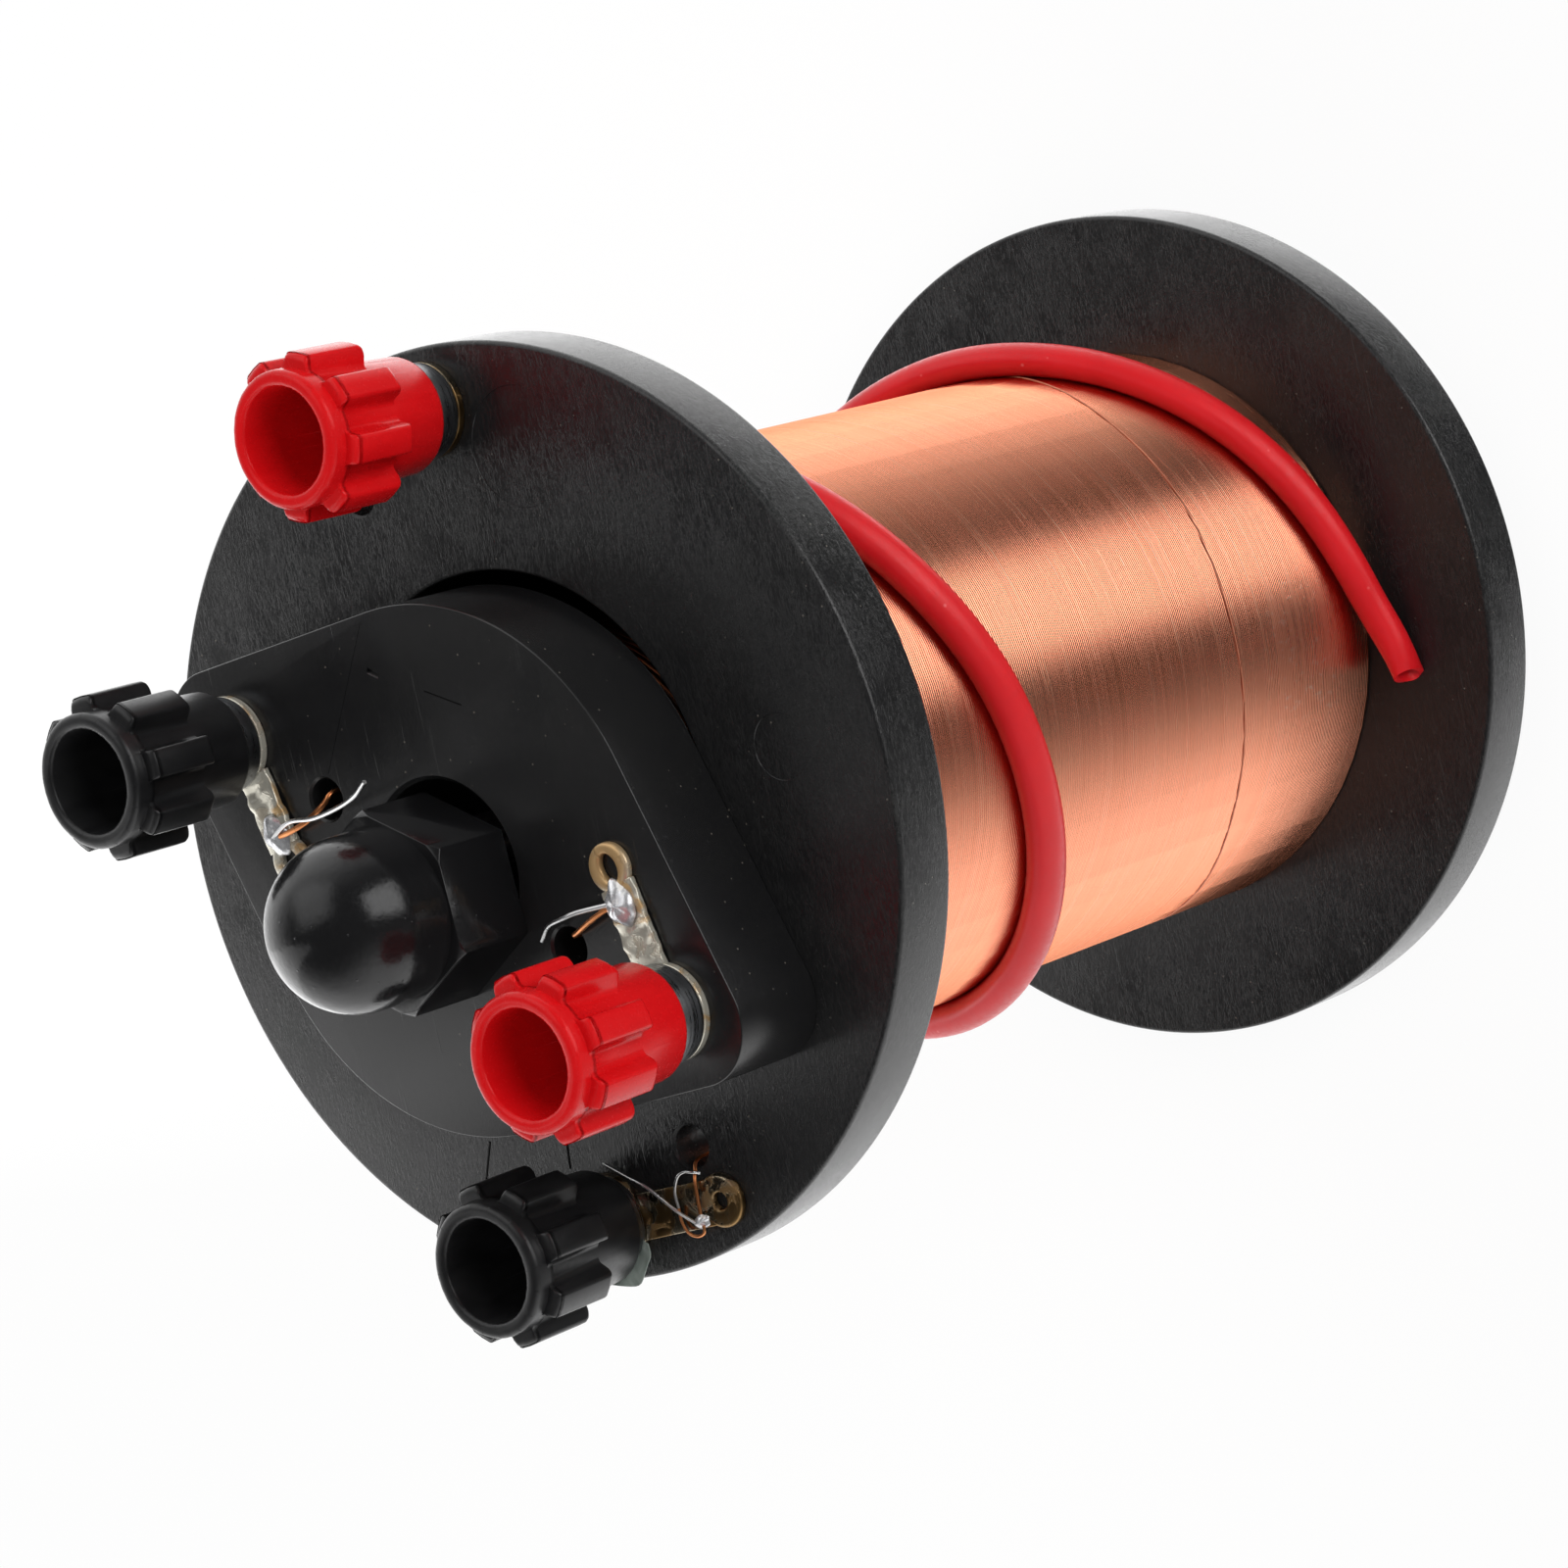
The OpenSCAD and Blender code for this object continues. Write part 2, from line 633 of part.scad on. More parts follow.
rear_flange();
front_flange();
secondary_former();
secondary_winding();
outer_turns();
red_sleeve();
secondary_red_stud();
secondary_red_nut();
secondary_red_tag();
secondary_red_solder();
secondary_red_lead();
secondary_red_bush();
secondary_red_cap();
secondary_black_stud();
secondary_black_nut();
secondary_black_tag();
secondary_black_solder();
secondary_black_lead();
secondary_black_bush();
secondary_black_cap();
primary_head();
primary_former();
primary_winding();
primary_end_collar();
primary_red_stud();
primary_red_nut();
primary_red_tag();
primary_red_solder();
primary_red_lead();
primary_red_bush();
primary_red_cap();
primary_black_stud();
primary_black_nut();
primary_black_tag();
primary_black_solder();
primary_black_lead();
primary_black_bush();
primary_black_cap();
core_rod();
core_knob();
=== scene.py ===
from math import asin, cos, degrees, pi, radians, sin, tan

import bpy
import numpy as np
from mathutils import Matrix, Vector, noise


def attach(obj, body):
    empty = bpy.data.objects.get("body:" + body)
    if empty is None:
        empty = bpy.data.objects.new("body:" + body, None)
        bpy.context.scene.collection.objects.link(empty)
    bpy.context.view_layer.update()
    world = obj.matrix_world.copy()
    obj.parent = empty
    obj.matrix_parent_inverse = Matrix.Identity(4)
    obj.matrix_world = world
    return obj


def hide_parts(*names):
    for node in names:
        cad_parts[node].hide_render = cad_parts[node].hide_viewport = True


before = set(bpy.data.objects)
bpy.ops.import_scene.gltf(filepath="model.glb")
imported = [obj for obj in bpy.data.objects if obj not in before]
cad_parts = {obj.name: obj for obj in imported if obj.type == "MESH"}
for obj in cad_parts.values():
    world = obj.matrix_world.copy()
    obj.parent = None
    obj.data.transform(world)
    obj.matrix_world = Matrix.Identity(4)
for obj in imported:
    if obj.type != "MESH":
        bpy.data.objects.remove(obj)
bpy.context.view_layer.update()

# Sizes of the solids, in millimetres and degrees
MM = 0.001
FLANGE_R, FLANGE_T, FRONT_Z, TOP_Z = 38.0, 6.0, 84.0, 90.0
BORE_R, FORMER_R, FORMER_SEAT, WINDING_R = 19.8, 21.3, 2.0, 25.65
SLEEVE_R, SLEEVE_BORE_R, SLEEVE_SINK, REST = 1.5, 1.0, 0.03, 0.15
HEAD_R, HEAD_T, HEAD_TOP_Z = 21.3, 9.0, 99.0
EAR_REACH, EAR_TIP_R, EAR_ANGLE = 26.0, 5.0, 57.2
PRIMARY = Vector((-2.48, 0.76, 0.0))
CORE = Vector((-4.18, 0.76, 0.0))
CORE_BORE_R, HEAD_POST_R, POST_R = 7.4, 24.0, 33.0
STUD_R, STUD_ROOT = 3.0, 5.0
NUT_R, NUT_T, TAG_T = 3.9, 2.7, 0.7
LEAD_HOLE_R, PRIMARY_LEAD_R, SECONDARY_LEAD_R, SECONDARY_LEAD_ANGLE = 1.7, 13.3, 29.4, 19.6
SECONDARY_TAG_ANGLE = 93.7
CAP_LOW_Z, CAP_LEN, CAP_FLOOR_Z, CAP_RECESS = 2.05, 13.4, 4.2, 1.5
CAP_NECK_R, CAP_BODY_R, CAP_COLLAR_R, CAP_COLLAR_LEN, CAP_BORE_R = 4.7, 5.05, 5.45, 1.7, 4.2
RIBS, RIB_HALF, RIB_LEN, RIB_START, RIB_R, RIB_ROUND = 8, 1.15, 6.5, 1.4, 6.65, 0.6
BUSH_BORE_R = 3.85
KNOB_FLATS, KNOB_HEX_H, KNOB_NECK_H, KNOB_DOME_R, KNOB_CHAMFER, KNOB_TURN = 14.3, 7.5, 3.3, 6.95, 0.5, 2.0
KNOB_SCREW_R, KNOB_SCREW_LEN = 4.35, 6.0
PRIMARY_WIRE_R, PRIMARY_WINDING_R, PRIMARY_TUBE_R = 0.4, 16.0, 9.0
PRIMARY_LOW_Z, PRIMARY_HIGH_Z, PRIMARY_PITCH, PRIMARY_STEPS = 9.15, 89.85, 0.82, 48
# Room round studs and tubes
FIT = 0.05


def at_angle(radius, angle, z=0.0):
    a = radians(angle)
    return Vector((radius * cos(a), radius * sin(a), z))


# Each post: foot, body that carries it, direction of its tag, lift and turn of its cap, its lead hole
def secondary_post(angle, lift, turn):
    return dict(foot=at_angle(POST_R, angle, TOP_Z), body="secondary", tag=angle + SECONDARY_TAG_ANGLE,
                lift=lift, turn=turn, hole=at_angle(SECONDARY_LEAD_R, angle + SECONDARY_LEAD_ANGLE, TOP_Z))


def primary_post(angle, tag, lift, turn):
    return dict(foot=PRIMARY + at_angle(HEAD_POST_R, angle, HEAD_TOP_Z), body="primary_head", tag=tag,
                lift=lift, turn=angle + turn, hole=PRIMARY + at_angle(PRIMARY_LEAD_R, angle, HEAD_TOP_Z))


POSTS = {
    "secondary_red": secondary_post(0, 1.05, 207),
    "secondary_black": secondary_post(180, 0.0, 12),
    "primary_red": primary_post(EAR_ANGLE + 180, 16.5, 1.45, 2),
    "primary_black": primary_post(EAR_ANGLE, 196.5, 0.6, 36),
}


def on_post(post, x, y, z):
    """A place seen from the foot of a post: along its tag, across it to the left, and up."""
    return post["foot"] + Matrix.Rotation(radians(post["tag"]), 3, "Z") @ Vector((x, y, z))


scene = bpy.context.scene


def new_object(name, data):
    obj = bpy.data.objects.new(name, data)
    scene.collection.objects.link(obj)
    return obj


# Camera at the photograph's place
CAMERA_AT = Vector((28.001, -280.535, 380.332))
CAMERA_RIGHT = Vector((-0.219264, -0.746271, -0.628493))
CAMERA_UP = Vector((0.972841, -0.118249, -0.198989))
CAMERA_LENS = 117.08
camera_data = bpy.data.cameras.new("camera")
camera_data.lens = CAMERA_LENS
camera_data.sensor_width = 36.0
camera = new_object("camera", camera_data)
back = CAMERA_RIGHT.cross(CAMERA_UP)
camera_turn = Matrix((CAMERA_RIGHT, CAMERA_UP, back)).transposed().to_4x4()
camera.matrix_world = Matrix.Translation(CAMERA_AT * MM) @ camera_turn
camera_data.clip_start = 0.02
camera_data.clip_end = 20.0
scene.camera = camera


# Mesh helpers. Points are in millimetres, objects in metres.
def make(name, points, faces, smooth=35):
    mesh = bpy.data.meshes.new(name)
    mesh.from_pydata([tuple(float(c) * MM for c in p) for p in points], [], [tuple(f) for f in faces])
    mesh.validate()
    mesh.update()
    obj = new_object(name, mesh)
    shade(obj, smooth)
    return obj


def shade(obj, smooth=35):
    obj.data.shade_smooth()
    if smooth < 180:
        obj.data.set_sharp_from_angle(angle=radians(smooth))


def grid(rows, cols, wrap_rows=False):
    faces = []
    for i in range(rows if wrap_rows else rows - 1):
        for k in range(cols):
            a, b = i * cols + k, i * cols + (k + 1) % cols
            j = (i + 1) % rows
            c, d = j * cols + (k + 1) % cols, j * cols + k
            faces.append((a, b, c, d))
    return faces


def capped(rows, cols):
    """Faces of a tube of rings whose two ends are closed."""
    last = (rows - 1) * cols
    return grid(rows, cols) + [tuple(reversed(range(cols))), tuple(range(last, last + cols))]


def flipped(faces, shift=0):
    return [tuple(i + shift for i in reversed(f)) for f in faces]


def circle(count):
    """Cosines and sines round a circle."""
    return [(cos(a), sin(a)) for a in (2 * pi * k / count for k in range(count))]


# Cosines and sines of a quarter turn, for rounded edges
QUARTER = [(cos(a), sin(a)) for a in (pi / 2 * i / 5 for i in range(6))]


def rounded(corners, steps=4):
    """A closed outline from (x, y, radius) corners, each rounded by its radius."""
    out = []
    n = len(corners)
    for i, (x, y, radius) in enumerate(corners):
        p = Vector((x, y))
        if radius <= 0:
            out.append(p)
            continue
        before = Vector(corners[i - 1][:2]) - p
        after = Vector(corners[(i + 1) % n][:2]) - p
        a = p + before.normalized() * min(radius, before.length * 0.49)
        b = p + after.normalized() * min(radius, after.length * 0.49)
        for s in range(steps + 1):
            t = s / steps
            out.append(a * (1 - t) ** 2 + p * 2 * t * (1 - t) + b * t * t)
    return out


def lathe_points(outline, segments, centre):
    turns = circle(segments)
    return [(centre[0] + p[0] * c, centre[1] + p[0] * s, centre[2] + p[1]) for p in outline for c, s in turns]


def lathe(name, corners, segments, centre=(0, 0, 0)):
    """A ring turned from a closed outline that runs up on the outside."""
    outline = rounded(corners)
    return make(name, lathe_points(outline, segments, centre), grid(len(outline), segments, True))


def ring(name, outer_r, inner_r, low, high, segments, centre=(0, 0, 0), rounds=(0, 0, 0, 0)):
    """A ring of plain section; rounds are the radii of its corners, from the outer low one upwards."""
    corners = zip((outer_r, outer_r, inner_r, inner_r), (low, high, high, low), rounds)
    return lathe(name, list(corners), segments, centre)


def plug(name, outline, segments, centre):
    """A solid turned from an outline that runs upwards, closed flat at both ends."""
    return make(name, lathe_points(outline, segments, centre), capped(len(outline), segments))


def frames(path):
    """Directions, sides and ups along a path, turned as little as possible."""
    path = np.asarray(path, float)
    along = np.gradient(path, axis=0)
    along /= np.linalg.norm(along, axis=1)[:, None]
    side = np.zeros_like(path)
    start = np.cross(along[0], (0.31, 0.17, 0.94))
    side[0] = start / np.linalg.norm(start)
    for i in range(1, len(path)):
        s = side[i - 1] - along[i] * np.dot(side[i - 1], along[i])
        side[i] = s / np.linalg.norm(s)
    return along, side, np.cross(along, side)


def swept(name, path, side, up, half_side, half_up, sides, flip=False):
    """A closed tube of oval section along a path; side and up span each section."""
    a = 2 * np.pi * np.arange(sides) / sides
    rings = (path[:, None, :] + half_side * np.cos(a)[None, :, None] * side[:, None, :]
             + half_up * np.sin(a)[None, :, None] * up[:, None, :])
    faces = capped(len(path), sides)
    return make(name, rings.reshape(-1, 3), flipped(faces) if flip else faces, 80)


def tube(name, path, radius, sides=10):
    path = np.asarray(path, float)
    _, side, up = frames(path)
    return swept(name, path, side, up, radius, radius, sides)


def helix(radius, low, high, pitch, steps, centre=(0, 0)):
    count = int((high - low) / pitch * steps)
    a = 2 * np.pi * np.arange(count + 1) / steps
    z = low + (high - low) * np.arange(count + 1) / count
    return np.stack([centre[0] + radius * np.cos(a), centre[1] + radius * np.sin(a), z], 1)


def helix_tube(name, path, centre, half_depth, half_width, sides):
    """Wire wound round the Z axis, with an oval section that keeps one corner outwards."""
    out = path - np.array((centre[0], centre[1], 0.0))
    out[:, 2] = 0
    out /= np.linalg.norm(out, axis=1)[:, None]
    up = np.tile((0.0, 0.0, 1.0), (len(path), 1))
    return swept(name, path, out, up, half_depth, half_width, sides, True)


def slab(name, lower, upper, rows, cols, smooth, start=0):
    """A thin sheet between two grids of places, closed round its edge. Upper faces begin at corner start."""
    count = rows * cols
    faces = []
    for i in range(rows - 1):
        for k in range(cols - 1):
            a = i * cols + k
            b, c, d = a + 1, a + cols + 1, a + cols
            above = (count + a, count + d, count + c, count + b)
            faces += [(a, b, c, d), above[start:] + above[:start]]
    rim = list(range(cols)) + [i * cols + cols - 1 for i in range(1, rows)]
    rim += list(range(count - 2, count - cols - 1, -1)) + [i * cols for i in range(rows - 2, 0, -1)]
    for a, b in zip(rim, rim[1:] + rim[:1]):
        faces.append((b, a, a + count, b + count))
    return make(name, lower + upper, faces, smooth)


def spline(points, count):
    """Catmull-Rom curve through points, evenly sampled by index."""
    p = np.asarray(points, float)
    p = np.vstack([2 * p[0] - p[1], p, 2 * p[-1] - p[-2]])
    out = []
    for s in np.linspace(0, len(p) - 3, count):
        i = min(int(s), len(p) - 4)
        t = s - i
        a, b, c, d = p[i:i + 4]
        square, cube = 2 * a - 5 * b + 4 * c - d, 3 * b - a - 3 * c + d
        out.append(0.5 * (2 * b + (c - a) * t + square * t * t + cube * t ** 3))
    return np.array(out)


def swap(obj, mesh, smooth):
    old, name = obj.data, obj.data.name
    obj.data = mesh
    bpy.data.meshes.remove(old)
    mesh.name = name
    shade(obj, smooth)


def bake(obj, smooth=35):
    """Applies the modifiers of an object to its mesh."""
    bpy.context.view_layer.update()
    graph = bpy.context.evaluated_depsgraph_get()
    mesh = bpy.data.meshes.new_from_object(obj.evaluated_get(graph))
    obj.modifiers.clear()
    swap(obj, mesh, smooth)


def drop(obj):
    mesh = obj.data
    bpy.data.objects.remove(obj)
    bpy.data.meshes.remove(mesh)


def combine(obj, tools, operation):
    for tool in tools:
        m = obj.modifiers.new("combine", "BOOLEAN")
        m.operation = operation
        m.solver = "EXACT"
        m.object = tool
    bake(obj)
    for tool in tools:
        drop(tool)


def soften(obj, width, segments, angle):
    """Rounds the sharp edges."""
    m = obj.modifiers.new("soften", "BEVEL")
    m.width = width * MM
    m.segments = segments
    m.limit_method = "ANGLE"
    m.angle_limit = radians(angle)
    m.harden_normals = True
    m.miter_outer = "MITER_ARC"
    bake(obj, 60)
    return obj


def join(obj, others):
    """Adds the meshes of others to obj."""
    points, faces = [], []
    for o in [obj] + others:
        base = len(points)
        points += [tuple(v.co) for v in o.data.vertices]
        faces += [tuple(i + base for i in p.vertices) for p in o.data.polygons]
    for o in others:
        drop(o)
    mesh = bpy.data.meshes.new(obj.name)
    mesh.from_pydata(points, [], faces)
    mesh.update()
    swap(obj, mesh, 60)


def hole_cutter(radius, centre, depth, chamfer=0.2, segments=40):
    """A drill for a hole whose rim is chamfered at centre's height."""
    outline = [(radius, -depth), (radius, -chamfer), (radius + chamfer, 0), (radius + chamfer, 1)]
    return plug("cutter", outline, segments, centre)


# Node helpers
class Nodes:
    """A node tree, emptied, and arithmetic in it."""

    def __init__(self, tree):
        self.tree = tree
        tree.nodes.clear()

    def add(self, kind, settings=None, **sockets):
        """A node; its sockets are named with _ for a space, or by number as in _0."""
        n = self.tree.nodes.new("ShaderNode" + kind)
        for key, value in (settings or {}).items():
            setattr(n, key, value)
        for key, value in sockets.items():
            key = key.replace("_", " ")
            socket = n.inputs[int(key[1:])] if key[1:].isdigit() else n.inputs[key]
            if isinstance(value, bpy.types.NodeSocket):
                self.tree.links.new(value, socket)
            else:
                socket.default_value = value
        return n

    def step(self, value, low, high, a=0.0, b=1.0):
        return self.add("MapRange", {"interpolation_type": "SMOOTHSTEP"}, Value=value,
                        From_Min=low, From_Max=high, To_Min=a, To_Max=b).outputs["Result"]

    def math(self, operation, a, b=0.0, clamp=False):
        settings = {"operation": operation, "use_clamp": clamp}
        return self.add("Math", settings, _0=a, _1=b).outputs[0]

    def times(self, a, b):
        return self.math("MULTIPLY", a, b)

    def plus(self, a, b):
        return self.math("ADD", a, b)

    def most(self, first, *others):
        for other in others:
            first = self.math("MAXIMUM", first, other)
        return first

    def vector(self, operation, a, b, out=0):
        return self.add("VectorMath", {"operation": operation}, _0=a, _1=tuple(b)).outputs[out]


class Look(Nodes):
    """A procedural material under construction. Places are in millimetres of the shared frame."""

    def __init__(self, name, colour, rough, metal=0.0, **constants):
        self.material = bpy.data.materials.new(name)
        self.material.use_nodes = True
        super().__init__(self.material.node_tree)
        self.shader = self.add("BsdfPrincipled", Base_Color=(*colour, 1), Roughness=rough, Metallic=metal,
                               **constants)
        self.add("OutputMaterial", Surface=self.shader.outputs["BSDF"])
        self.place = self.add("TexCoord").outputs["Object"]

    def at(self, scale=1.0, turn=(0, 0, 0), shift=(0, 0, 0)):
        """Places scaled alike or axis by axis, then turned and shifted."""
        scales = scale if isinstance(scale, tuple) else (scale,) * 3
        n = self.add("Mapping", {"vector_type": "POINT"}, Vector=self.place)
        n.inputs["Scale"].default_value = [s / MM for s in scales]
        n.inputs["Rotation"].default_value = [radians(t) for t in turn]
        n.inputs["Location"].default_value = shift
        return n.outputs["Vector"]

    def noise(self, scale, detail=3.0, rough=0.55, twist=0.0, turn=(0, 0, 0), shift=(0, 0, 0)):
        return self.add("TexNoise", Vector=self.at(scale, turn, shift), Scale=1.0, Detail=detail,
                        Roughness=rough, Distortion=twist).outputs["Fac"]

    def cells(self, scale):
        return self.add("TexVoronoi", Vector=self.at(scale), Scale=1.0).outputs["Distance"]

    def mix(self, share, a, b):
        a, b = ((*c, 1) if isinstance(c, tuple) else c for c in (a, b))
        return self.add("Mix", {"data_type": "RGBA"}, _0=share, _6=a, _7=b).outputs[2]

    def radius(self):
        """Distance from the Z axis."""
        flat = self.vector("MULTIPLY", self.at(), (1, 1, 0))
        return self.vector("DISTANCE", flat, (0, 0, 0), "Value")

    def near(self, point):
        """Distance from a point."""
        return self.vector("DISTANCE", self.at(), point, "Value")

    def scratches(self, turns, across, along, low, high, patch=0.06):
        """Fine straight marks in a few directions, in patches."""
        marks = []
        for i, turn in enumerate(turns):
            shift = (11.0 * i, 3.0 * i, 0)
            line = self.noise((along, across, across), 2.0, 0.5, 0.15, turn, shift)
            where = self.noise(patch, 2.0, shift=(5.0 * i + 2, 0, 7.0 * i))
            where = self.step(where, 0.45, 0.62)
            marks.append(self.times(self.step(line, low, high), where))
        return self.most(*marks)

    def done(self, colour, rough, *relief, **more):
        """The material. Relief is given as layers of (height, strength in millimetres)."""
        normal = {}
        for height, depth in relief:
            n = self.add("Bump", Strength=1.0, Distance=depth * MM, Height=height, **normal)
            normal = {"Normal": n.outputs["Normal"]}
        for key, socket in {"Base Color": colour, "Roughness": rough, **normal, **more}.items():
            self.tree.links.new(socket, self.shader.inputs[key])
        return self.material


def moulded_black(name, fibres, rims):
    """Black moulded plastic: short flow fibres, sparse dust, hairlines, and rims paler where worn, partly as
    a painted edge highlight.
    """
    k = Look(name, (0.009, 0.009, 0.0095), 0.24, Specular_IOR_Level=0.5)
    blotch = k.noise(0.1, 4.0, 0.55, 0.3)
    grain = k.noise(5.0, 2.0)
    parts = []
    for i, turn in enumerate(((0, 0, 38), (0, 0, -47), (0, 62, 84), (0, 20, -5))):
        strokes = k.noise((0.9, 3.3, 3.3), 3.0, 0.6, 1.5, turn=turn, shift=(7.0 * i, 0, 3.0 * i))
        patch = k.step(k.noise(0.16, 2.0, shift=(4.0 * i, 9.0 * i, 1)), 0.34, 0.56)
        parts.append(k.times(k.step(strokes, 0.46, 0.72), patch))
    flow = k.most(*parts)
    hairs = k.scratches(((0, 0, 21), (0, 0, -66), (30, 0, 75)), 5.5, 0.07, 0.70, 0.75, 0.05)
    dusty = k.step(k.noise(0.11, 2.0, shift=(3, 5, 8)), 0.44, 0.62)
    specks = k.times(k.step(k.cells(0.85), 0.09, 0.04), dusty)
    colour = k.mix(k.step(blotch, 0.3, 0.75), (0.0075, 0.0075, 0.008), (0.0095, 0.0094, 0.0095))
    colour = k.mix(k.times(flow, fibres), colour, (0.022, 0.0217, 0.0217))
    colour = k.mix(k.times(hairs, 0.25), colour, (0.05, 0.05, 0.05))
    colour = k.mix(k.times(specks, 0.5), colour, (0.20, 0.18, 0.15))
    if rims:
        z = k.add("SeparateXYZ", Vector=k.at()).outputs["Z"]
        edges = [k.step(k.math("ABSOLUTE", k.math("SUBTRACT", z, rim)), 0.4, 0.05) for rim in rims]
        # Paler along the flange rims: worn nicks, partly a painted edge highlight
        worn = k.times(k.step(k.radius(), FLANGE_R - 0.4, FLANGE_R - 0.05), k.most(*edges))
        broken = k.step(k.noise(0.35, 5.0, 0.7), 0.52, 0.7)
        colour = k.mix(k.times(k.times(worn, broken), 0.35), colour, (0.08, 0.079, 0.077))
    rough = k.plus(k.step(blotch, 0.25, 0.8, 0.21, 0.25), k.times(flow, 0.09 * fibres))
    return k.done(colour, rough, (grain, 0.003), (flow, 0.027 * fibres), (hairs, 0.012))


def cap_plastic(name, dark, light, rough, **constants):
    """Half-gloss moulded cap with faint flow marks."""
    k = Look(name, light, rough, **constants)
    flow = k.noise((0.5, 0.5, 0.18), 3.0, 0.5, 0.6)
    grain = k.noise(3.0, 3.0)
    colour = k.mix(k.step(flow, 0.3, 0.7), dark, light)
    rough = k.step(grain, 0.3, 0.7, rough - 0.03, rough + 0.03)
    return k.done(colour, rough, (flow, 0.015))


def gloss_black():
    """Dipped gloss black with a faint orange peel and pinholes."""
    k = Look("knob_gloss_black", (0.007, 0.007, 0.0075), 0.16, Specular_IOR_Level=0.42)
    peel = k.noise(0.9, 2.0)
    fine = k.noise(4.0, 2.0)
    specks = k.step(k.cells(0.7), 0.08, 0.03)
    colour = k.mix(specks, (0.007, 0.007, 0.0075), (0.02, 0.02, 0.021))
    rough = k.step(fine, 0.3, 0.75, 0.15, 0.25)
    return k.done(colour, rough, (peel, 0.03), (fine, 0.003), (specks, 0.02))


# Middle of a rubbed place on the winding
SCUFF = at_angle(WINDING_R, -98, 16.0)


def fine_copper():
    """Enamelled copper, with a slightly different tone and polish on each turn and one rubbed place."""
    k = Look("fine_enamelled_copper", (0.96, 0.425, 0.275), 0.24, 1.0, Specular_Tint=(1.0, 0.66, 0.52, 1))
    turn = k.noise((0.012, 0.012, 3.2), 4.0, 0.75)
    band = k.noise((0.02, 0.02, 1.1), 4.0, 0.65, shift=(3, 1, 4))
    rubbed = k.step(k.near(SCUFF), 8.5, 4.5)
    flecks = k.step(k.noise((1.5, 1.5, 0.9), 4.0, 0.7, 0.6, shift=(2, 7, 5)), 0.56, 0.68)
    scuff = k.times(rubbed, flecks)
    light = k.step(band, 0.35, 0.72)
    colour = k.mix(k.step(turn, 0.3, 0.7), (0.91, 0.352, 0.212), (0.97, 0.405, 0.255))
    colour = k.mix(k.times(light, 0.25), colour, (0.99, 0.44, 0.29))
    colour = k.mix(k.times(rubbed, 0.25), colour, (0.86, 0.30, 0.18))
    colour = k.mix(k.times(scuff, 0.7), colour, (0.97, 0.60, 0.46))
    dull = k.plus(k.times(light, 0.04), k.times(rubbed, 0.03))
    rough = k.plus(k.step(turn, 0.3, 0.7, 0.22, 0.25), dull)
    return k.done(colour, rough, (scuff, 0.004))


def wire_copper(name, colour, dark, rough, metal=1.0):
    k = Look(name, colour, rough, metal)
    tone = k.noise((0.35, 0.35, 1.2), 3.0)
    nick = k.step(k.noise(2.2, 3.0), 0.62, 0.72)
    colour = k.mix(nick, k.mix(k.step(tone, 0.3, 0.7), dark, colour), tuple(0.6 * c for c in dark))
    rough = k.step(tone, 0.3, 0.7, rough, rough + 0.12)
    return k.done(colour, rough, (tone, 0.01))


def red_vinyl():
    """Soft red vinyl sleeve, half gloss, with faint length marks."""
    k = Look("red_vinyl_sleeve", (0.58, 0.010, 0.015), 0.36, Specular_IOR_Level=0.4, Subsurface_Weight=0.2,
             Subsurface_Radius=(1.0, 0.08, 0.06), Subsurface_Scale=0.001)
    tone = k.noise(0.12, 4.0, 0.6)
    fine = k.noise(2.5, 3.0)
    specks = k.step(k.cells(0.35), 0.07, 0.03)
    colour = k.mix(k.step(tone, 0.3, 0.7), (0.53, 0.007, 0.011), (0.60, 0.010, 0.015))
    colour = k.mix(k.times(specks, 0.4), colour, (0.75, 0.2, 0.2))
    rough = k.step(fine, 0.3, 0.7, 0.3, 0.44)
    return k.done(colour, rough, (fine, 0.003), (tone, 0.05))


def plated(name, colour, dark, rough):
    """Bright plating with darker stains and turning marks."""
    k = Look(name, colour, rough, 1.0)
    turning = k.noise((0.2, 0.2, 6.0), 2.0)
    stain = k.step(k.noise(0.5, 4.0, 0.65, 0.5), 0.48, 0.68)
    colour = k.mix(stain, colour, dark)
    rough = k.plus(k.step(turning, 0.3, 0.7, rough - 0.06, rough + 0.1), k.times(stain, 0.12))
    return k.done(colour, rough, (turning, 0.006), (stain, 0.004))


def tinned(name, tin, brass, worn_from, fluxed, metal, eye=None):
    """Thin tin over brass: the brass shows where the tin is worn, with amber flux residue."""
    k = Look(name, tin, 0.3, metal)
    wear = k.step(k.noise(0.32, 4.0, 0.62, 0.6, turn=(0, 0, 20)), worn_from, worn_from + 0.14)
    flux = k.step(k.noise(0.55, 4.0, 0.6, 0.8, shift=(9, 4, 2)), 0.54, 0.64)
    if eye:
        wear = k.most(wear, k.step(k.near(eye), 2.7, 1.6))
    fine = k.scratches(((0, 0, 25), (0, 0, -70)), 6.0, 0.5, 0.6, 0.7, 0.3)
    colour = k.mix(wear, tin, brass)
    colour = k.mix(k.times(flux, fluxed), colour, (0.15, 0.085, 0.03))
    colour = k.mix(k.times(fine, 0.35), colour, tuple(min(1.0, 1.2 * c) for c in tin))
    rough = k.plus(k.step(wear, 0.0, 1.0, 0.2, 0.34), k.times(flux, 0.12))
    metal = k.math("SUBTRACT", metal, k.times(flux, 0.6 * fluxed * metal))
    return k.done(colour, rough, (fine, 0.015), (wear, 0.02), (flux, 0.04), Metallic=metal)


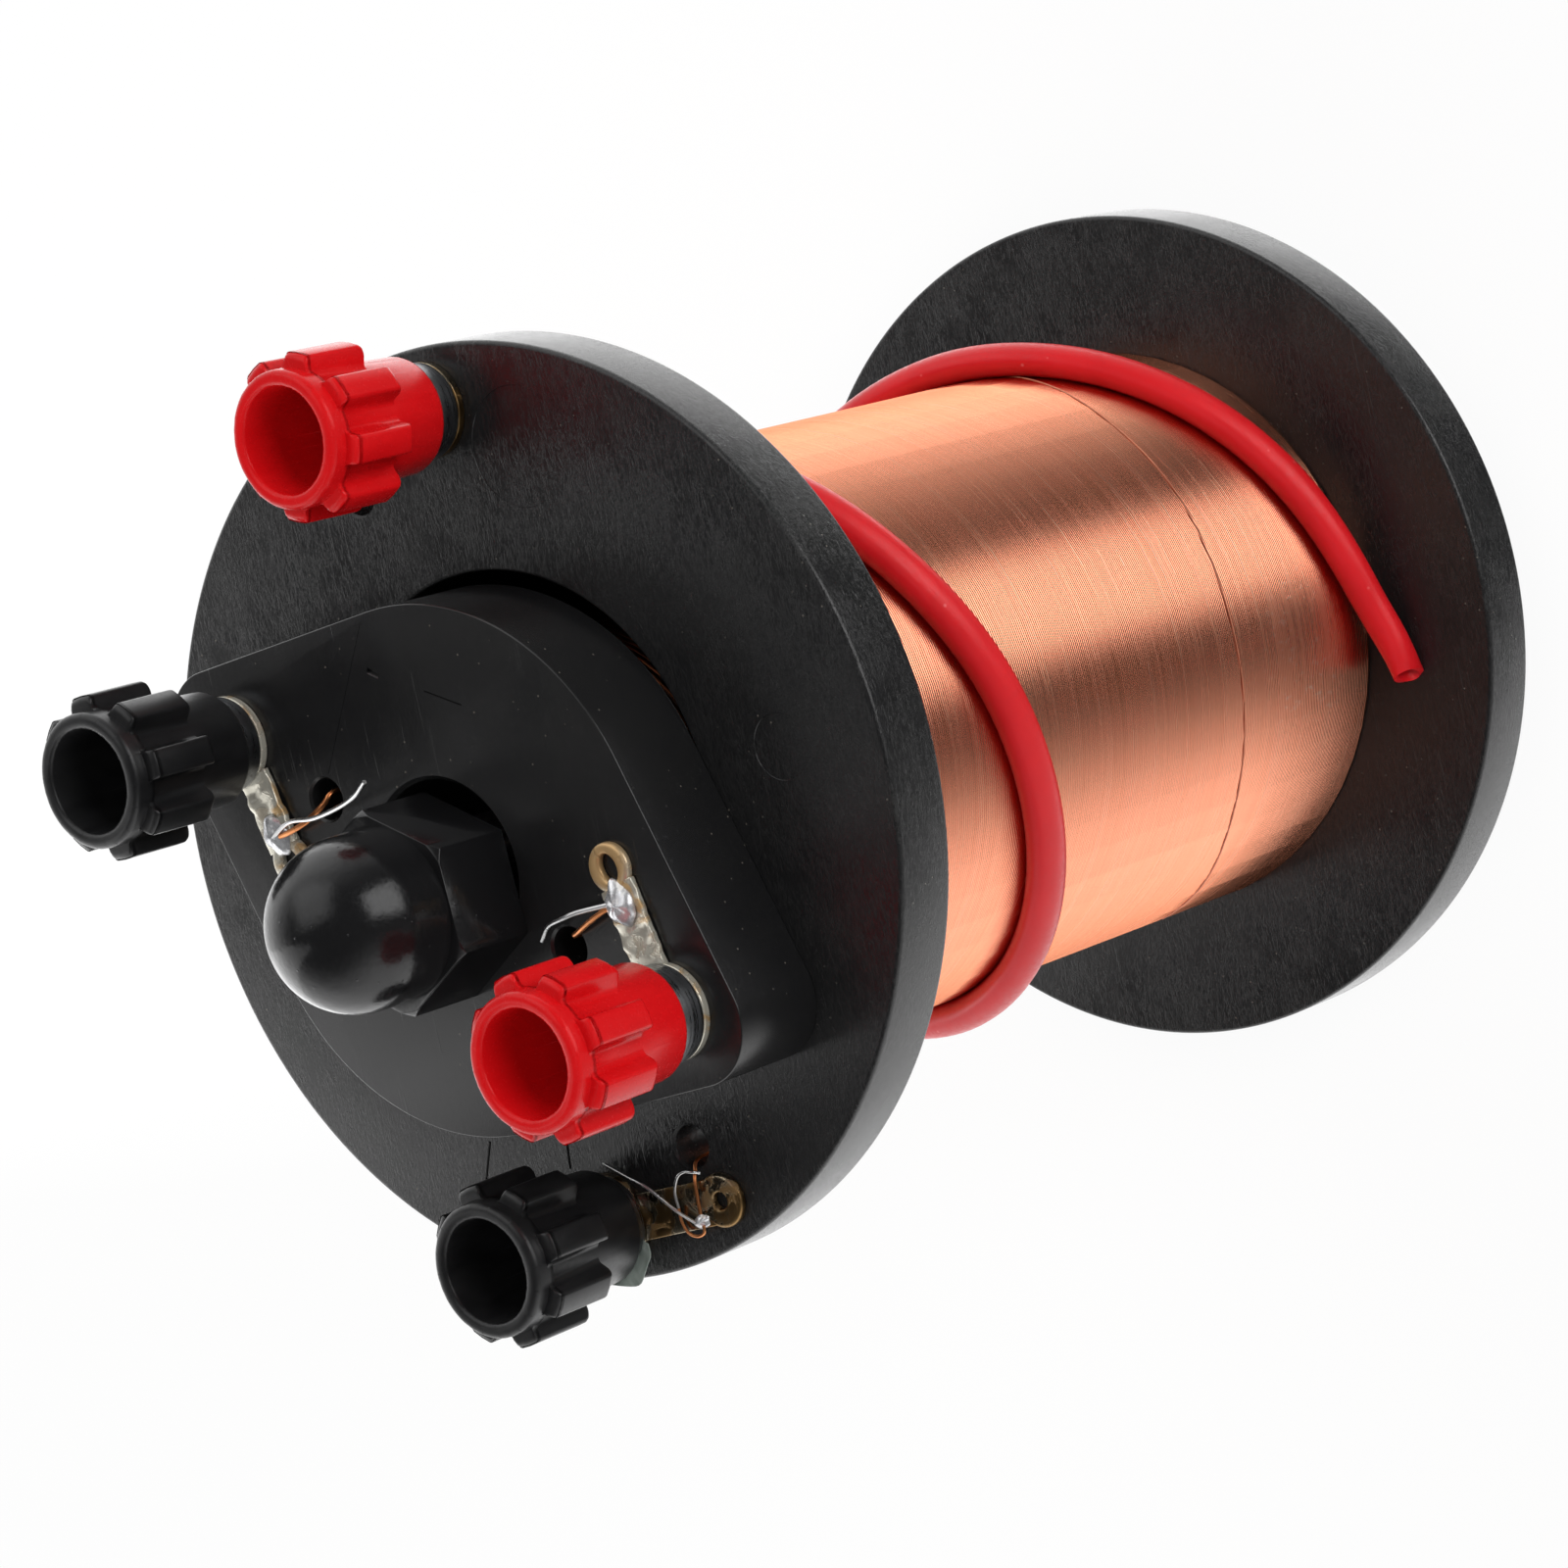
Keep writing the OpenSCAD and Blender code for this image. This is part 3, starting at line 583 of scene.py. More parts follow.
def solder():
    """Bright solder, duller where it cooled, with spots of painted white highlight and of dark red flux."""
    k = Look("soft_solder", (0.80, 0.80, 0.82), 0.2, 0.7)
    dull = k.noise(0.9, 4.0, 0.6, 0.5)
    # White spots: a painted highlight, pale and less metallic
    white = k.step(k.noise(0.7, 3.0, shift=(3, 8, 1)), 0.58, 0.66)
    red = k.step(k.noise(0.6, 3.0, shift=(6, 1, 5)), 0.64, 0.69)
    colour = k.mix(k.step(dull, 0.35, 0.7), (0.86, 0.87, 0.89), (0.42, 0.42, 0.44))
    colour = k.mix(k.times(white, 0.7), colour, (0.78, 0.78, 0.74))
    colour = k.mix(red, colour, (0.12, 0.012, 0.012))
    metal = k.math("SUBTRACT", 0.7, k.most(red, k.times(white, 0.6)), True)
    rough = k.step(dull, 0.3, 0.75, 0.12, 0.42)
    return k.done(colour, rough, (dull, 0.05), Metallic=metal)


def dark_iron():
    """Drawn iron rod with length marks and brown spots."""
    k = Look("dark_iron_rod", (0.27, 0.26, 0.25), 0.42, 1.0)
    drawn = k.noise((2.4, 2.4, 0.05), 3.0)
    rust = k.step(k.noise((0.35, 0.35, 0.2), 5.0, 0.65, 0.4), 0.58, 0.74)
    colour = k.mix(k.step(drawn, 0.3, 0.7), (0.20, 0.195, 0.19), (0.36, 0.35, 0.335))
    colour = k.mix(rust, colour, (0.11, 0.045, 0.02))
    metal = k.math("SUBTRACT", 1.0, k.times(rust, 0.7))
    rough = k.plus(k.step(drawn, 0.3, 0.7, 0.32, 0.46), k.times(rust, 0.25))
    return k.done(colour, rough, (drawn, 0.015), (rust, 0.03), Metallic=metal)


FLANGE_RIMS = (0.0, FLANGE_T, FRONT_Z, TOP_Z)
# Eye of the primary's red tag, where the tin has gone
BRASS_EYE = (12.2, -0.8, 0.35)
LOOKS = {
    "flange": moulded_black("moulded_black_flange", 0.5, FLANGE_RIMS),
    "head": moulded_black("moulded_black_head", 0.12, ()),
    "red_cap": cap_plastic("red_cap_plastic", (0.54, 0.004, 0.006), (0.57, 0.006, 0.008), 0.25,
                           Specular_IOR_Level=0.22),
    "black_cap": cap_plastic("black_cap_plastic", (0.006, 0.006, 0.0065), (0.011, 0.011, 0.0115), 0.36,
                             Specular_IOR_Level=0.4),
    "knob": gloss_black(),
    "fine_copper": fine_copper(),
    # Copper of the primary winding, darkened as painted shade for the deep gap under the head it lies in
    "bare_copper": wire_copper("primary_copper_painted_shade", (0.40, 0.13, 0.055), (0.26, 0.075, 0.03), 0.3),
    "lead": wire_copper("copper_lead", (0.90, 0.37, 0.15), (0.70, 0.25, 0.09), 0.28),
    "stray": wire_copper("stray_turn_copper", (0.66, 0.25, 0.15), (0.46, 0.15, 0.085), 0.4, 0.4),
    "tail": wire_copper("tinned_lead_end", (0.82, 0.82, 0.82), (0.66, 0.66, 0.66), 0.22),
    "sleeve": red_vinyl(),
    "zinc": plated("zinc_plate", (0.32, 0.33, 0.345), (0.21, 0.21, 0.215), 0.3),
    "brass": plated("turned_brass", (0.80, 0.60, 0.25), (0.52, 0.35, 0.12), 0.28),
    "primary_tag": tinned("tinned_tag", (0.60, 0.575, 0.49), (0.52, 0.34, 0.16), 0.52, 0.45, 0.6,
                          on_post(POSTS["primary_red"], *BRASS_EYE)),
    "secondary_tag": tinned("flux_brown_tag", (0.33, 0.28, 0.20), (0.28, 0.17, 0.07), 0.42, 0.8, 1.0),
    "paper": cap_plastic("grey_green_paper", (0.16, 0.19, 0.17), (0.30, 0.34, 0.31), 0.6,
                         Specular_IOR_Level=0.3),
    "solder": solder(),
    "iron": dark_iron(),
}


def dress(obj, look, body=None, replaces=()):
    obj.data.materials.clear()
    obj.data.materials.append(LOOKS[look])
    if body:
        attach(obj, body)
    if replaces:
        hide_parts(*replaces)
    return obj


# Red sleeve: a smooth tube along the wound route, hollow, cut open at both ends.
# Route: angle round the axis, share of the way between the flanges, stand-off from the turns
SLEEVE_ROUTE = [
    (-105, 0, 3.5), (-90, 0.02, 0.75), (-60, 0.076, 0), (-30, 0.145, 0), (-12, 0.185, 0),
    (25, 0.23, 0), (90, 0.35, 0), (160, 0.485, 0), (225, 0.61, 0), (270, 0.71, 0),
    (300, 0.79, 0), (330, 0.865, 0), (360, 0.955, 0), (375, 1, 0),
]
SLEEVE_LOW, SLEEVE_HIGH = FLANGE_T + REST + SLEEVE_R, FRONT_Z - REST - SLEEVE_R


def route_value(angle, col):
    i = max(k for k in range(len(SLEEVE_ROUTE) - 1) if angle >= SLEEVE_ROUTE[k][0])

    def slope(k):
        a, b = SLEEVE_ROUTE[max(k - 1, 0)], SLEEVE_ROUTE[min(k + 1, len(SLEEVE_ROUTE) - 1)]
        return (b[col] - a[col]) / (b[0] - a[0])
    a, b = SLEEVE_ROUTE[i], SLEEVE_ROUTE[i + 1]
    span = b[0] - a[0]
    t = (angle - a[0]) / span
    return (a[col] * (1 + 2 * t) * (1 - t) ** 2 + slope(i) * span * t * (1 - t) ** 2
            + b[col] * t * t * (3 - 2 * t) + slope(i + 1) * span * t * t * (t - 1))


SLEEVE_STEPS = 160
# Half thickness and half width of the sleeve: oval where it is pulled round the turns,
# pressed flat at the open end
SLEEVE_HALF_WIDTH, FLAT_HALF, FLAT_HALF_WIDTH = 1.85, 0.95, 1.85
# Half of the length by which the open end is cut aslant
SLEEVE_SLANT = 0.7
sleeve_path, outer, inner = [], [], []
SLEEVE_SIDES = 20
first, last = SLEEVE_ROUTE[0][0], SLEEVE_ROUTE[-1][0]
sleeve_angles = [first + (last - first) * i / SLEEVE_STEPS for i in range(SLEEVE_STEPS + 1)]
for angle in sleeve_angles:
    share = min(1.0, max(0.0, route_value(angle, 1)))
    off = max(0.0, route_value(angle, 2))
    z = SLEEVE_LOW + share * (SLEEVE_HIGH - SLEEVE_LOW)
    sleeve_path.append(at_angle(WINDING_R + SLEEVE_R - SLEEVE_SINK + off, angle, z))
for i, angle in enumerate(sleeve_angles):
    along = (sleeve_path[min(i + 1, SLEEVE_STEPS)] - sleeve_path[max(i - 1, 0)]).normalized()
    outward = at_angle(1, angle)
    outward = (outward - along * along.dot(outward)).normalized()
    sideways = along.cross(outward)
    oval = min(1.0, max(0.0, (angle - first - 12) / 25), max(0.0, (last - 12 - angle) / 25))
    flat = max(0.0, 1 - (angle - first) / 9) ** 2
    half = SLEEVE_R + (FLAT_HALF - SLEEVE_R) * flat
    half_width = SLEEVE_R + (SLEEVE_HALF_WIDTH - SLEEVE_R) * oval + (FLAT_HALF_WIDTH - SLEEVE_R) * flat
    wall = SLEEVE_R - SLEEVE_BORE_R
    for c, s in circle(SLEEVE_SIDES):
        middle = sleeve_path[i]
        if i == 0:
            middle = middle + along * SLEEVE_SLANT * (0.63 * c - 0.77 * s)
        outer.append(middle + outward * half * c + sideways * half_width * s)
        inner.append(middle + outward * (half - wall) * c + sideways * (half_width - wall) * s)
count = len(outer)
faces = grid(len(sleeve_path), SLEEVE_SIDES)
faces += flipped(faces, count)
for k in range(SLEEVE_SIDES):
    n = (k + 1) % SLEEVE_SIDES
    faces.append((n, k, k + count, n + count))
    last = count - SLEEVE_SIDES
    faces.append((last + k, last + n, last + n + count, last + k + count))
red_sleeve_tube = make("red_sleeve_tube", np.vstack([outer, inner]), faces, 50)
dress(red_sleeve_tube, "sleeve", "secondary", ("red_sleeve",))


# Flanges
def flange(name, low, seat_up, holes=()):
    high = low + FLANGE_T
    edge, lip = 0.4, 0.3
    seat_r = FORMER_R + FIT
    if seat_up:
        step = high - FORMER_SEAT
        inside = [(seat_r, high, 0), (seat_r, step, 0), (BORE_R, step, 0), (BORE_R, low, lip)]
    else:
        step = low + FORMER_SEAT
        inside = [(BORE_R, high, lip), (BORE_R, step, 0), (seat_r, step, 0), (seat_r, low, 0)]
    obj = lathe(name, [(FLANGE_R, low, edge), (FLANGE_R, high, edge)] + inside, 256)
    if holes:
        combine(obj, [hole_cutter(*h) for h in holes], "DIFFERENCE")
    return obj


rear_flange_disc = flange("rear_flange_disc", 0.0, True)
dress(rear_flange_disc, "flange", "secondary", ("rear_flange",))
front_holes = []
for name in ("secondary_red", "secondary_black"):
    front_holes.append((STUD_R + FIT, POSTS[name]["foot"], STUD_ROOT, 0.05))
    front_holes.append((LEAD_HOLE_R, POSTS[name]["hole"], FLANGE_T + 1))
front_flange_disc = flange("front_flange_disc", FRONT_Z, False, front_holes)
# Marks of the mould and of a tool in the front face: shallow round ones and grooves along a radius
MARK_DEPTH = 0.06
round_marks = []
for place, radius in (((29.9, -16.5), 4.8), ((28.2, -85.5), 2.6)):
    outline = [(radius, -MARK_DEPTH), (radius + 0.05, 0.02), (radius + 0.05, 1)]
    round_marks.append(plug("mark", outline, 56, at_angle(*place, TOP_Z)))


def groove(start, end, half, depth):
    """A V-shaped cutter between two places of a flat face."""
    side = Vector((0, 0, 1)).cross(end - start).normalized() * half
    above, points = Vector((0, 0, 0.05)), []
    for place in (start, end):
        points += [place - side + above, place - Vector((0, 0, depth)), place + side + above]
    return make("groove", points, [(0, 2, 1), (3, 4, 5), (0, 1, 4, 3), (1, 2, 5, 4), (2, 0, 3, 5)])


face_grooves = [groove(at_angle(inner_r, azimuth, TOP_Z), at_angle(outer_r, azimuth, TOP_Z), 0.16, 0.2)
                for inner_r, outer_r, azimuth in ((28.2, 31.6, 155.5), (26.6, 28.8, 173))]
combine(front_flange_disc, round_marks + face_grooves, "DIFFERENCE")
dress(front_flange_disc, "flange", "secondary", ("front_flange",))

# Secondary winding: very fine wire, turn beside turn, over a plain core
FINE_PITCH, FINE_DEPTH, FINE_STEPS, FINE_SIDES = 0.25, 0.12, 52, 6
fine_path = helix(WINDING_R - FINE_DEPTH, FLANGE_T + 0.2, FRONT_Z - 0.2, FINE_PITCH, FINE_STEPS)
fine_turns = helix_tube("fine_turns", fine_path, (0, 0), FINE_DEPTH, FINE_PITCH * 0.51, FINE_SIDES)
core_r = WINDING_R - 1.3 * FINE_DEPTH
fine_core = ring("fine_core", core_r, FORMER_R + FIT, FLANGE_T + FIT, FRONT_Z - FIT, 128)
join(fine_turns, [fine_core])
dress(fine_turns, "fine_copper", "secondary", ("outer_turns", "secondary_winding"))

# One turn of the winding that has come to lie across the others
STRAY = [(-8, 21.6), (-23.5, 23.45), (-40, 25.1), (-60, 25.7), (-75, 26.3), (-91, 26.4), (-112, 25.7),
         (-130, 24.5), (-148, 22.0), (-165, 19.8)]
stray_path = [at_angle(WINDING_R, a, z) for a, z in spline(STRAY, 90)]
STRAY_R = 0.07
stray_turn = tube("stray_turn", stray_path, STRAY_R, 8)
dress(stray_turn, "stray", "secondary")

# Primary winding, its copper darkened as painted shade
primary_path = helix(PRIMARY_WINDING_R - PRIMARY_WIRE_R, PRIMARY_LOW_Z + 0.45, PRIMARY_HIGH_Z - 1.5,
                     PRIMARY_PITCH, PRIMARY_STEPS, PRIMARY)
primary_turns = helix_tube("primary_turns", primary_path, PRIMARY, PRIMARY_WIRE_R, PRIMARY_WIRE_R, 8)
under_r = PRIMARY_WINDING_R - 1.3 * PRIMARY_WIRE_R
inner_r, high = PRIMARY_TUBE_R + FIT, PRIMARY_HIGH_Z - 1
primary_under = ring("primary_under", under_r, inner_r, PRIMARY_LOW_Z, high, 96, PRIMARY)
join(primary_turns, [primary_under])
dress(primary_turns, "bare_copper", "primary_coil", ("primary_winding",))

# Primary head: an eye-shaped plate with rounded edges
HEAD_EDGE = 0.12


def eye_outline(inset):
    half = 90 - degrees(asin((HEAD_R - EAR_TIP_R) / EAR_REACH))
    out = []
    for centre, radius, start, end, steps in (
            (EAR_REACH, EAR_TIP_R, -half, half, 28), (0, HEAD_R, half, 180 - half, 48),
            (-EAR_REACH, EAR_TIP_R, 180 - half, 180 + half, 28), (0, HEAD_R, 180 + half, 360 - half, 48)):
        for s in range(steps + 1):
            out.append(Vector((centre, 0, 0)) + at_angle(radius - inset, start + (end - start) * s / steps))
    return out


def eye_plate():
    turn = Matrix.Rotation(radians(EAR_ANGLE), 3, "Z")
    rows = [(HEAD_EDGE * (1 - s), HEAD_EDGE * (1 - c)) for c, s in QUARTER]
    rows = rows + [(inset, HEAD_T - z) for inset, z in reversed(rows)]
    points = []
    for inset, z in rows:
        points += [turn @ p + PRIMARY + Vector((0, 0, TOP_Z + z)) for p in eye_outline(inset)]
    return make("primary_head_plate", points, capped(len(rows), len(points) // len(rows)))


primary_head_plate = eye_plate()
head_cutters = [hole_cutter(CORE_BORE_R, PRIMARY + Vector((0, 0, HEAD_TOP_Z)), HEAD_T + 1, 0.35, 80)]
for name in ("primary_red", "primary_black"):
    head_cutters.append(hole_cutter(STUD_R + FIT, POSTS[name]["foot"], STUD_ROOT, 0.05))
    head_cutters.append(hole_cutter(LEAD_HOLE_R, POSTS[name]["hole"], HEAD_T + 1))
combine(primary_head_plate, head_cutters, "DIFFERENCE")
# A long fine scratch and a few nicks in the head's face: start, end, half width and depth
HEAD_NICKS = [((18.0, 3.7), (6.7, 11.05), 0.05, 0.06), ((14.2, 4.2), (13.6, 3.1), 0.28, 0.3),
              ((11.8, -1.4), (10.2, -5.0), 0.1, 0.12)]
combine(primary_head_plate, [groove(Vector((*a, HEAD_TOP_Z)), Vector((*b, HEAD_TOP_Z)), half, depth)
                             for a, b, half, depth in HEAD_NICKS], "DIFFERENCE")
dress(primary_head_plate, "head", "primary_head", ("primary_head",))


# Domed hexagonal knob of the core
def knob():
    corner = KNOB_FLATS / 2 / cos(radians(30))
    base = CORE + Vector((0, 0, HEAD_TOP_Z))
    hexagon = [at_angle(corner, KNOB_TURN + 60 * i) for i in range(6)]
    points = [base + p + Vector((0, 0, z)) for z in (0, KNOB_HEX_H) for p in hexagon]
    obj = make("core_knob_cap", points, capped(2, 6))
    edge = corner - KNOB_CHAMFER
    slope = [(edge + KNOB_HEX_H + 1, -1), (edge, KNOB_HEX_H), (edge - 1, KNOB_HEX_H + 1)]
    combine(obj, [plug("cone", slope, 192, base)], "INTERSECT")
    soften(obj, 0.22, 3, 20)
    dome_z = KNOB_HEX_H + KNOB_NECK_H
    outline = [(KNOB_DOME_R, z) for z in (1.0, KNOB_HEX_H - 0.5, KNOB_HEX_H + 0.4, dome_z)]
    for s in range(1, 24):
        a = radians(90 * s / 24)
        outline.append((KNOB_DOME_R * cos(a), dome_z + KNOB_DOME_R * sin(a)))
    outline.append((0.02, dome_z + KNOB_DOME_R))
    combine(obj, [plug("dome", outline, 96, base)], "UNION")
    screw = plug("screw", [(KNOB_SCREW_R, -1), (KNOB_SCREW_R, KNOB_SCREW_LEN)], 48, base)
    combine(obj, [screw], "DIFFERENCE")
    return obj


core_knob_cap = knob()
dress(core_knob_cap, "knob", "core_knob", ("core_knob",))


# Cap of a binding post: a turned body with parallel-sided ribs, open at the top
def cap_rows():
    """Rows up the outside as (height, body radius, rib radius), then down the inside."""
    low, high = CAP_LEN - RIB_START - RIB_LEN, CAP_LEN - RIB_START
    shoulder, lip = CAP_LEN - CAP_COLLAR_LEN, 0.55
    outside = [(0.0, CAP_NECK_R - 0.4), (0.12, CAP_NECK_R - 0.12), (0.4, CAP_NECK_R)]

    def body(z):
        if z <= shoulder - lip:
            return CAP_NECK_R + (CAP_BODY_R - CAP_NECK_R) * (z - 0.4) / (shoulder - lip - 0.4)
        if z <= shoulder:
            t = (z - shoulder + lip) / lip
            return CAP_BODY_R + (CAP_COLLAR_R - CAP_BODY_R) * t * t * (3 - 2 * t)
        return CAP_COLLAR_R
    rows = [(z, r, r) for z, r in outside]
    rows.append((low - 0.25, body(low - 0.25), body(low - 0.25)))
    rows.append((low - 0.02, body(low), body(low) + 0.05))
    rows.append((low, body(low), body(low) + 0.25))
    for c, s in QUARTER:
        rows.append((low + RIB_ROUND * (1 - c), body(low), RIB_R - RIB_ROUND + RIB_ROUND * s))
    for z in (shoulder - lip, shoulder - 0.6 * lip, shoulder - 0.3 * lip, shoulder):
        rows.append((z, body(z), RIB_R))
    for c, s in reversed(QUARTER):
        rows.append((high - RIB_ROUND * (1 - c), body(high), RIB_R - RIB_ROUND + RIB_ROUND * s))
    rows.append((high, body(high), body(high) + 0.25))
    rows.append((high + 0.02, body(high), body(high) + 0.05))
    rows.append((high + 0.2, CAP_COLLAR_R, CAP_COLLAR_R))
    for c, s in QUARTER:
        r = CAP_COLLAR_R - lip + lip * c
        rows.append((CAP_LEN - lip + lip * s, r, r))
    inside = [(CAP_LEN, CAP_BORE_R + 0.35), (CAP_LEN - 0.1, CAP_BORE_R + 0.1), (CAP_LEN - 0.35, CAP_BORE_R),
              (CAP_LEN - 4, CAP_BORE_R), (CAP_FLOOR_Z + 0.2, CAP_BORE_R), (CAP_FLOOR_Z, CAP_BORE_R - 0.2),
              (CAP_FLOOR_Z, BUSH_BORE_R), (CAP_RECESS, BUSH_BORE_R), (CAP_RECESS, CAP_BORE_R),
              (0.1, CAP_BORE_R), (0.0, CAP_BORE_R + 0.08)]
    return rows + [(z, r, r) for z, r in inside]


def cap_section(body_r, rib_r):
    """One ring of the cap: plain between the ribs, with rounded edges along them."""
    out = []
    soft = 0.28
    for i in range(RIBS):
        mid = 2 * pi * i / RIBS
        foot = asin(min(1.0, (RIB_HALF + 0.25) / body_r))
        flank = []
        for across, radius in ((RIB_HALF + 0.04, body_r + 0.18), (RIB_HALF, body_r + 0.5),
                               (RIB_HALF, rib_r - soft), (RIB_HALF - 0.08, rib_r - 0.08),
                               (RIB_HALF - soft, rib_r)):
            radius = max(body_r, min(radius, rib_r))
            flank.append((radius, asin(across / radius)))
        for a in np.linspace(-pi / RIBS, -foot, 5)[1:]:
            out.append((body_r, mid + a))
        out += [(r, mid - a) for r, a in flank]
        out.append((rib_r, mid))
        out += [(r, mid + a) for r, a in reversed(flank)]
        for a in np.linspace(foot, pi / RIBS, 5)[:-1]:
            out.append((body_r, mid + a))
        out.append((body_r, mid + pi / RIBS))
    return out


def post_cap(name, post):
    base = post["foot"] + Vector((0, 0, CAP_LOW_Z + post["lift"]))
    turn = radians(post["turn"])
    points = []
    rows = cap_rows()
    for z, body_r, rib_r in rows:
        for r, a in cap_section(body_r, rib_r):
            points.append(base + Vector((r * cos(a + turn), r * sin(a + turn), z)))
    cols = len(points) // len(rows)
    return make(name, points, grid(len(rows), cols, True), 48)


# Solder tags and joints, seen from the foot of the post: along the tag, across it to the left, and up.
# strip: its two edges at the washer; eye: middle and radius; hole: its half sizes;
# crinkle: how far it is bent; joint: middle, half length, half width and height of the solder
TAGS = {
    "secondary_red": dict(strip=(-1.6, 1.6), eye=(11.2, 0.0, 2.0), hole=(0.85, 0.85), crinkle=0.05,
                          joint=(7.8, 0.0, 1.5, 1.1, 0.8)),
    "secondary_black": dict(strip=(-2.0, 1.8), eye=(12.2, 0.1, 2.2), hole=(0.7, 0.65), crinkle=0.04,
                            joint=(9.9, -1.25, 0.85, 0.6, 0.5)),
    "primary_red": dict(strip=(-2.0, 1.2), eye=(11.8, -0.8, 2.0), hole=(1.15, 0.8), crinkle=0.42,
                        joint=(8.9, -0.5, 1.95, 1.3, 0.9)),
    "primary_black": dict(strip=(-0.6, 2.6), eye=(10.9, 0.9, 2.0), hole=(1.0, 0.85), crinkle=0.45,
                          joint=(8.6, 0.9, 2.0, 1.4, 0.95)),
}


def solder_tag(name, post, tag, seed):
    """A washer under the nut, a strip that is bent a little, and an eye."""
    obj = ring(name, NUT_R - 0.03, STUD_R + FIT, 0, TAG_T, 64, post["foot"], (0.12, 0.15, 0, 0))
    eye_x, eye_y, eye_r = tag["eye"]
    hole_x, hole_y = tag["hole"]
    # Strip from inside the washer to the eye's rim
    start, end = STUD_R + 0.3, eye_x - hole_x - 0.25
    rows, cols = 15, 7
    sheet = []
    for i in range(rows):
        t = i / (rows - 1)
        low = tag["strip"][0] * (1 - t) + (eye_y - 0.85 * eye_r) * t
        high = tag["strip"][1] * (1 - t) + (eye_y + 0.85 * eye_r) * t
        bend = min(1.0, 5 * t) * min(1.0, 6 * (1 - t))
        for k in range(cols):
            y = low + (high - low) * k / (cols - 1)
            x = start + (end - start) * t
            lift = tag["crinkle"] * bend * noise.noise(Vector((1.1 * x + seed, 0.8 * y, seed)))
            sheet.append((x, y, lift))
    lower = [on_post(post, x, y, 0.08 + max(0.0, lift)) for x, y, lift in sheet]
    upper = [on_post(post, x, y, TAG_T - 0.02 + lift) for x, y, lift in sheet]
    strip = soften(slab("strip", lower, upper, rows, cols, 30), 0.1, 2, 60)
    # Eye
    segments = 44
    width = eye_r - hole_x
    ring_points = []
    outline = rounded([(width, 0, 0.15), (width, TAG_T, 0.34), (0, TAG_T, 0.34), (0, 0, 0.15)])
    for p in outline:
        share = p[0] / width
        for c, s in circle(segments):
            x = (hole_x + (eye_r - hole_x) * share) * c
            y = (hole_y + (eye_r - hole_y) * share) * s
            ring_points.append(on_post(post, eye_x + x, eye_y + y, p[1]))
    eye = make("eye", ring_points, grid(len(outline), segments, True))
    join(obj, [strip, eye])
    return obj


def solder_lump(name, post, joint, seed):
    """A lump of solder that has run along the strip."""
    x0, y0, half_length, half_width, height = joint
    rows, cols = 14, 28
    points = []
    for i in range(rows):
        polar = pi / 2 * (1 - i / (rows - 1))
        reach = cos(polar)
        for c, s in circle(cols):
            bulge = noise.noise(Vector((1.3 * c + seed, 1.3 * s, 0.8 * i / rows)))
            x = reach * c * half_length * (1 + 0.35 * bulge)
            y = reach * s * half_width * (1 + 0.25 * bulge)
            z = TAG_T - 0.1 + sin(polar) * height * (1 + 0.3 * bulge) * (1 - 0.25 * reach * c)
            points.append(on_post(post, x0 + x, y0 + y, z))
    return make(name, points, flipped(capped(rows, cols)), 180)


for index, (name, post) in enumerate(POSTS.items()):
    colour = "red" if name.endswith("red") else "black"
    body = post["body"]
    cap_piece = post_cap(name + "_ribbed_cap", post)
    dress(cap_piece, colour + "_cap", name + "_cap", (name + "_cap",))
    tag, seed = TAGS[name], 3.7 * index + 1.2
    tag_piece = solder_tag(name + "_solder_tag", post, tag, seed)
    dress(tag_piece, name.split("_")[0] + "_tag", body, (name + "_tag",))
    nut_piece = ring(name + "_round_nut", NUT_R, STUD_R + FIT, TAG_T, TAG_T + NUT_T, 64, post["foot"],
                     (0.25, 0.3, 0.2, 0.1))
    dress(nut_piece, "zinc", body, (name + "_nut",))
    lump_piece = solder_lump(name + "_solder_lump", post, tag["joint"], seed)
    dress(lump_piece, "solder", body, (name + "_solder",))

# Frayed paper washer that stands out from under the nut of the secondary's black post
PAPER_FROM, PAPER_TO, PAPER_INNER, PAPER_OUTER, PAPER_T = -115.0, -190.0, NUT_R - 0.25, 5.6, 0.12
paper_foot = POSTS["secondary_black"]["foot"]
paper_rows, paper_cols = 5, 22
lower, upper = [], []
for i in range(paper_rows):
    for k in range(paper_cols):
        share, t = i / (paper_rows - 1), k / (paper_cols - 1)
        torn = 0.55 + 0.65 * (0.5 + 0.5 * noise.noise(Vector((4.0 * t, 1.3, 0.4))))
        width = (PAPER_OUTER - PAPER_INNER) * torn * sin(pi * (0.06 + 0.9 * t)) ** 0.5
        lift = TAG_T + 0.1 + share * (0.3 + 0.9 * t + 0.35 * noise.noise(Vector((6.0 * t, share, 3.1))))
        azimuth = PAPER_FROM + (PAPER_TO - PAPER_FROM) * t
        lower.append(paper_foot + at_angle(PAPER_INNER + width * share, azimuth, lift))
        upper.append(lower[-1] + Vector((0, 0, PAPER_T)))
frayed_washer = slab("secondary_black_frayed_washer", lower, upper, paper_rows, paper_cols, 40, 1)
dress(frayed_washer, "paper", "secondary")

# Leads: copper wire up out of its hole and bent over into the solder, and silvery cut ends.
# Routes are seen from the foot of the post: along its tag, across it, and up.
LEAD_DEPTH = 5.0
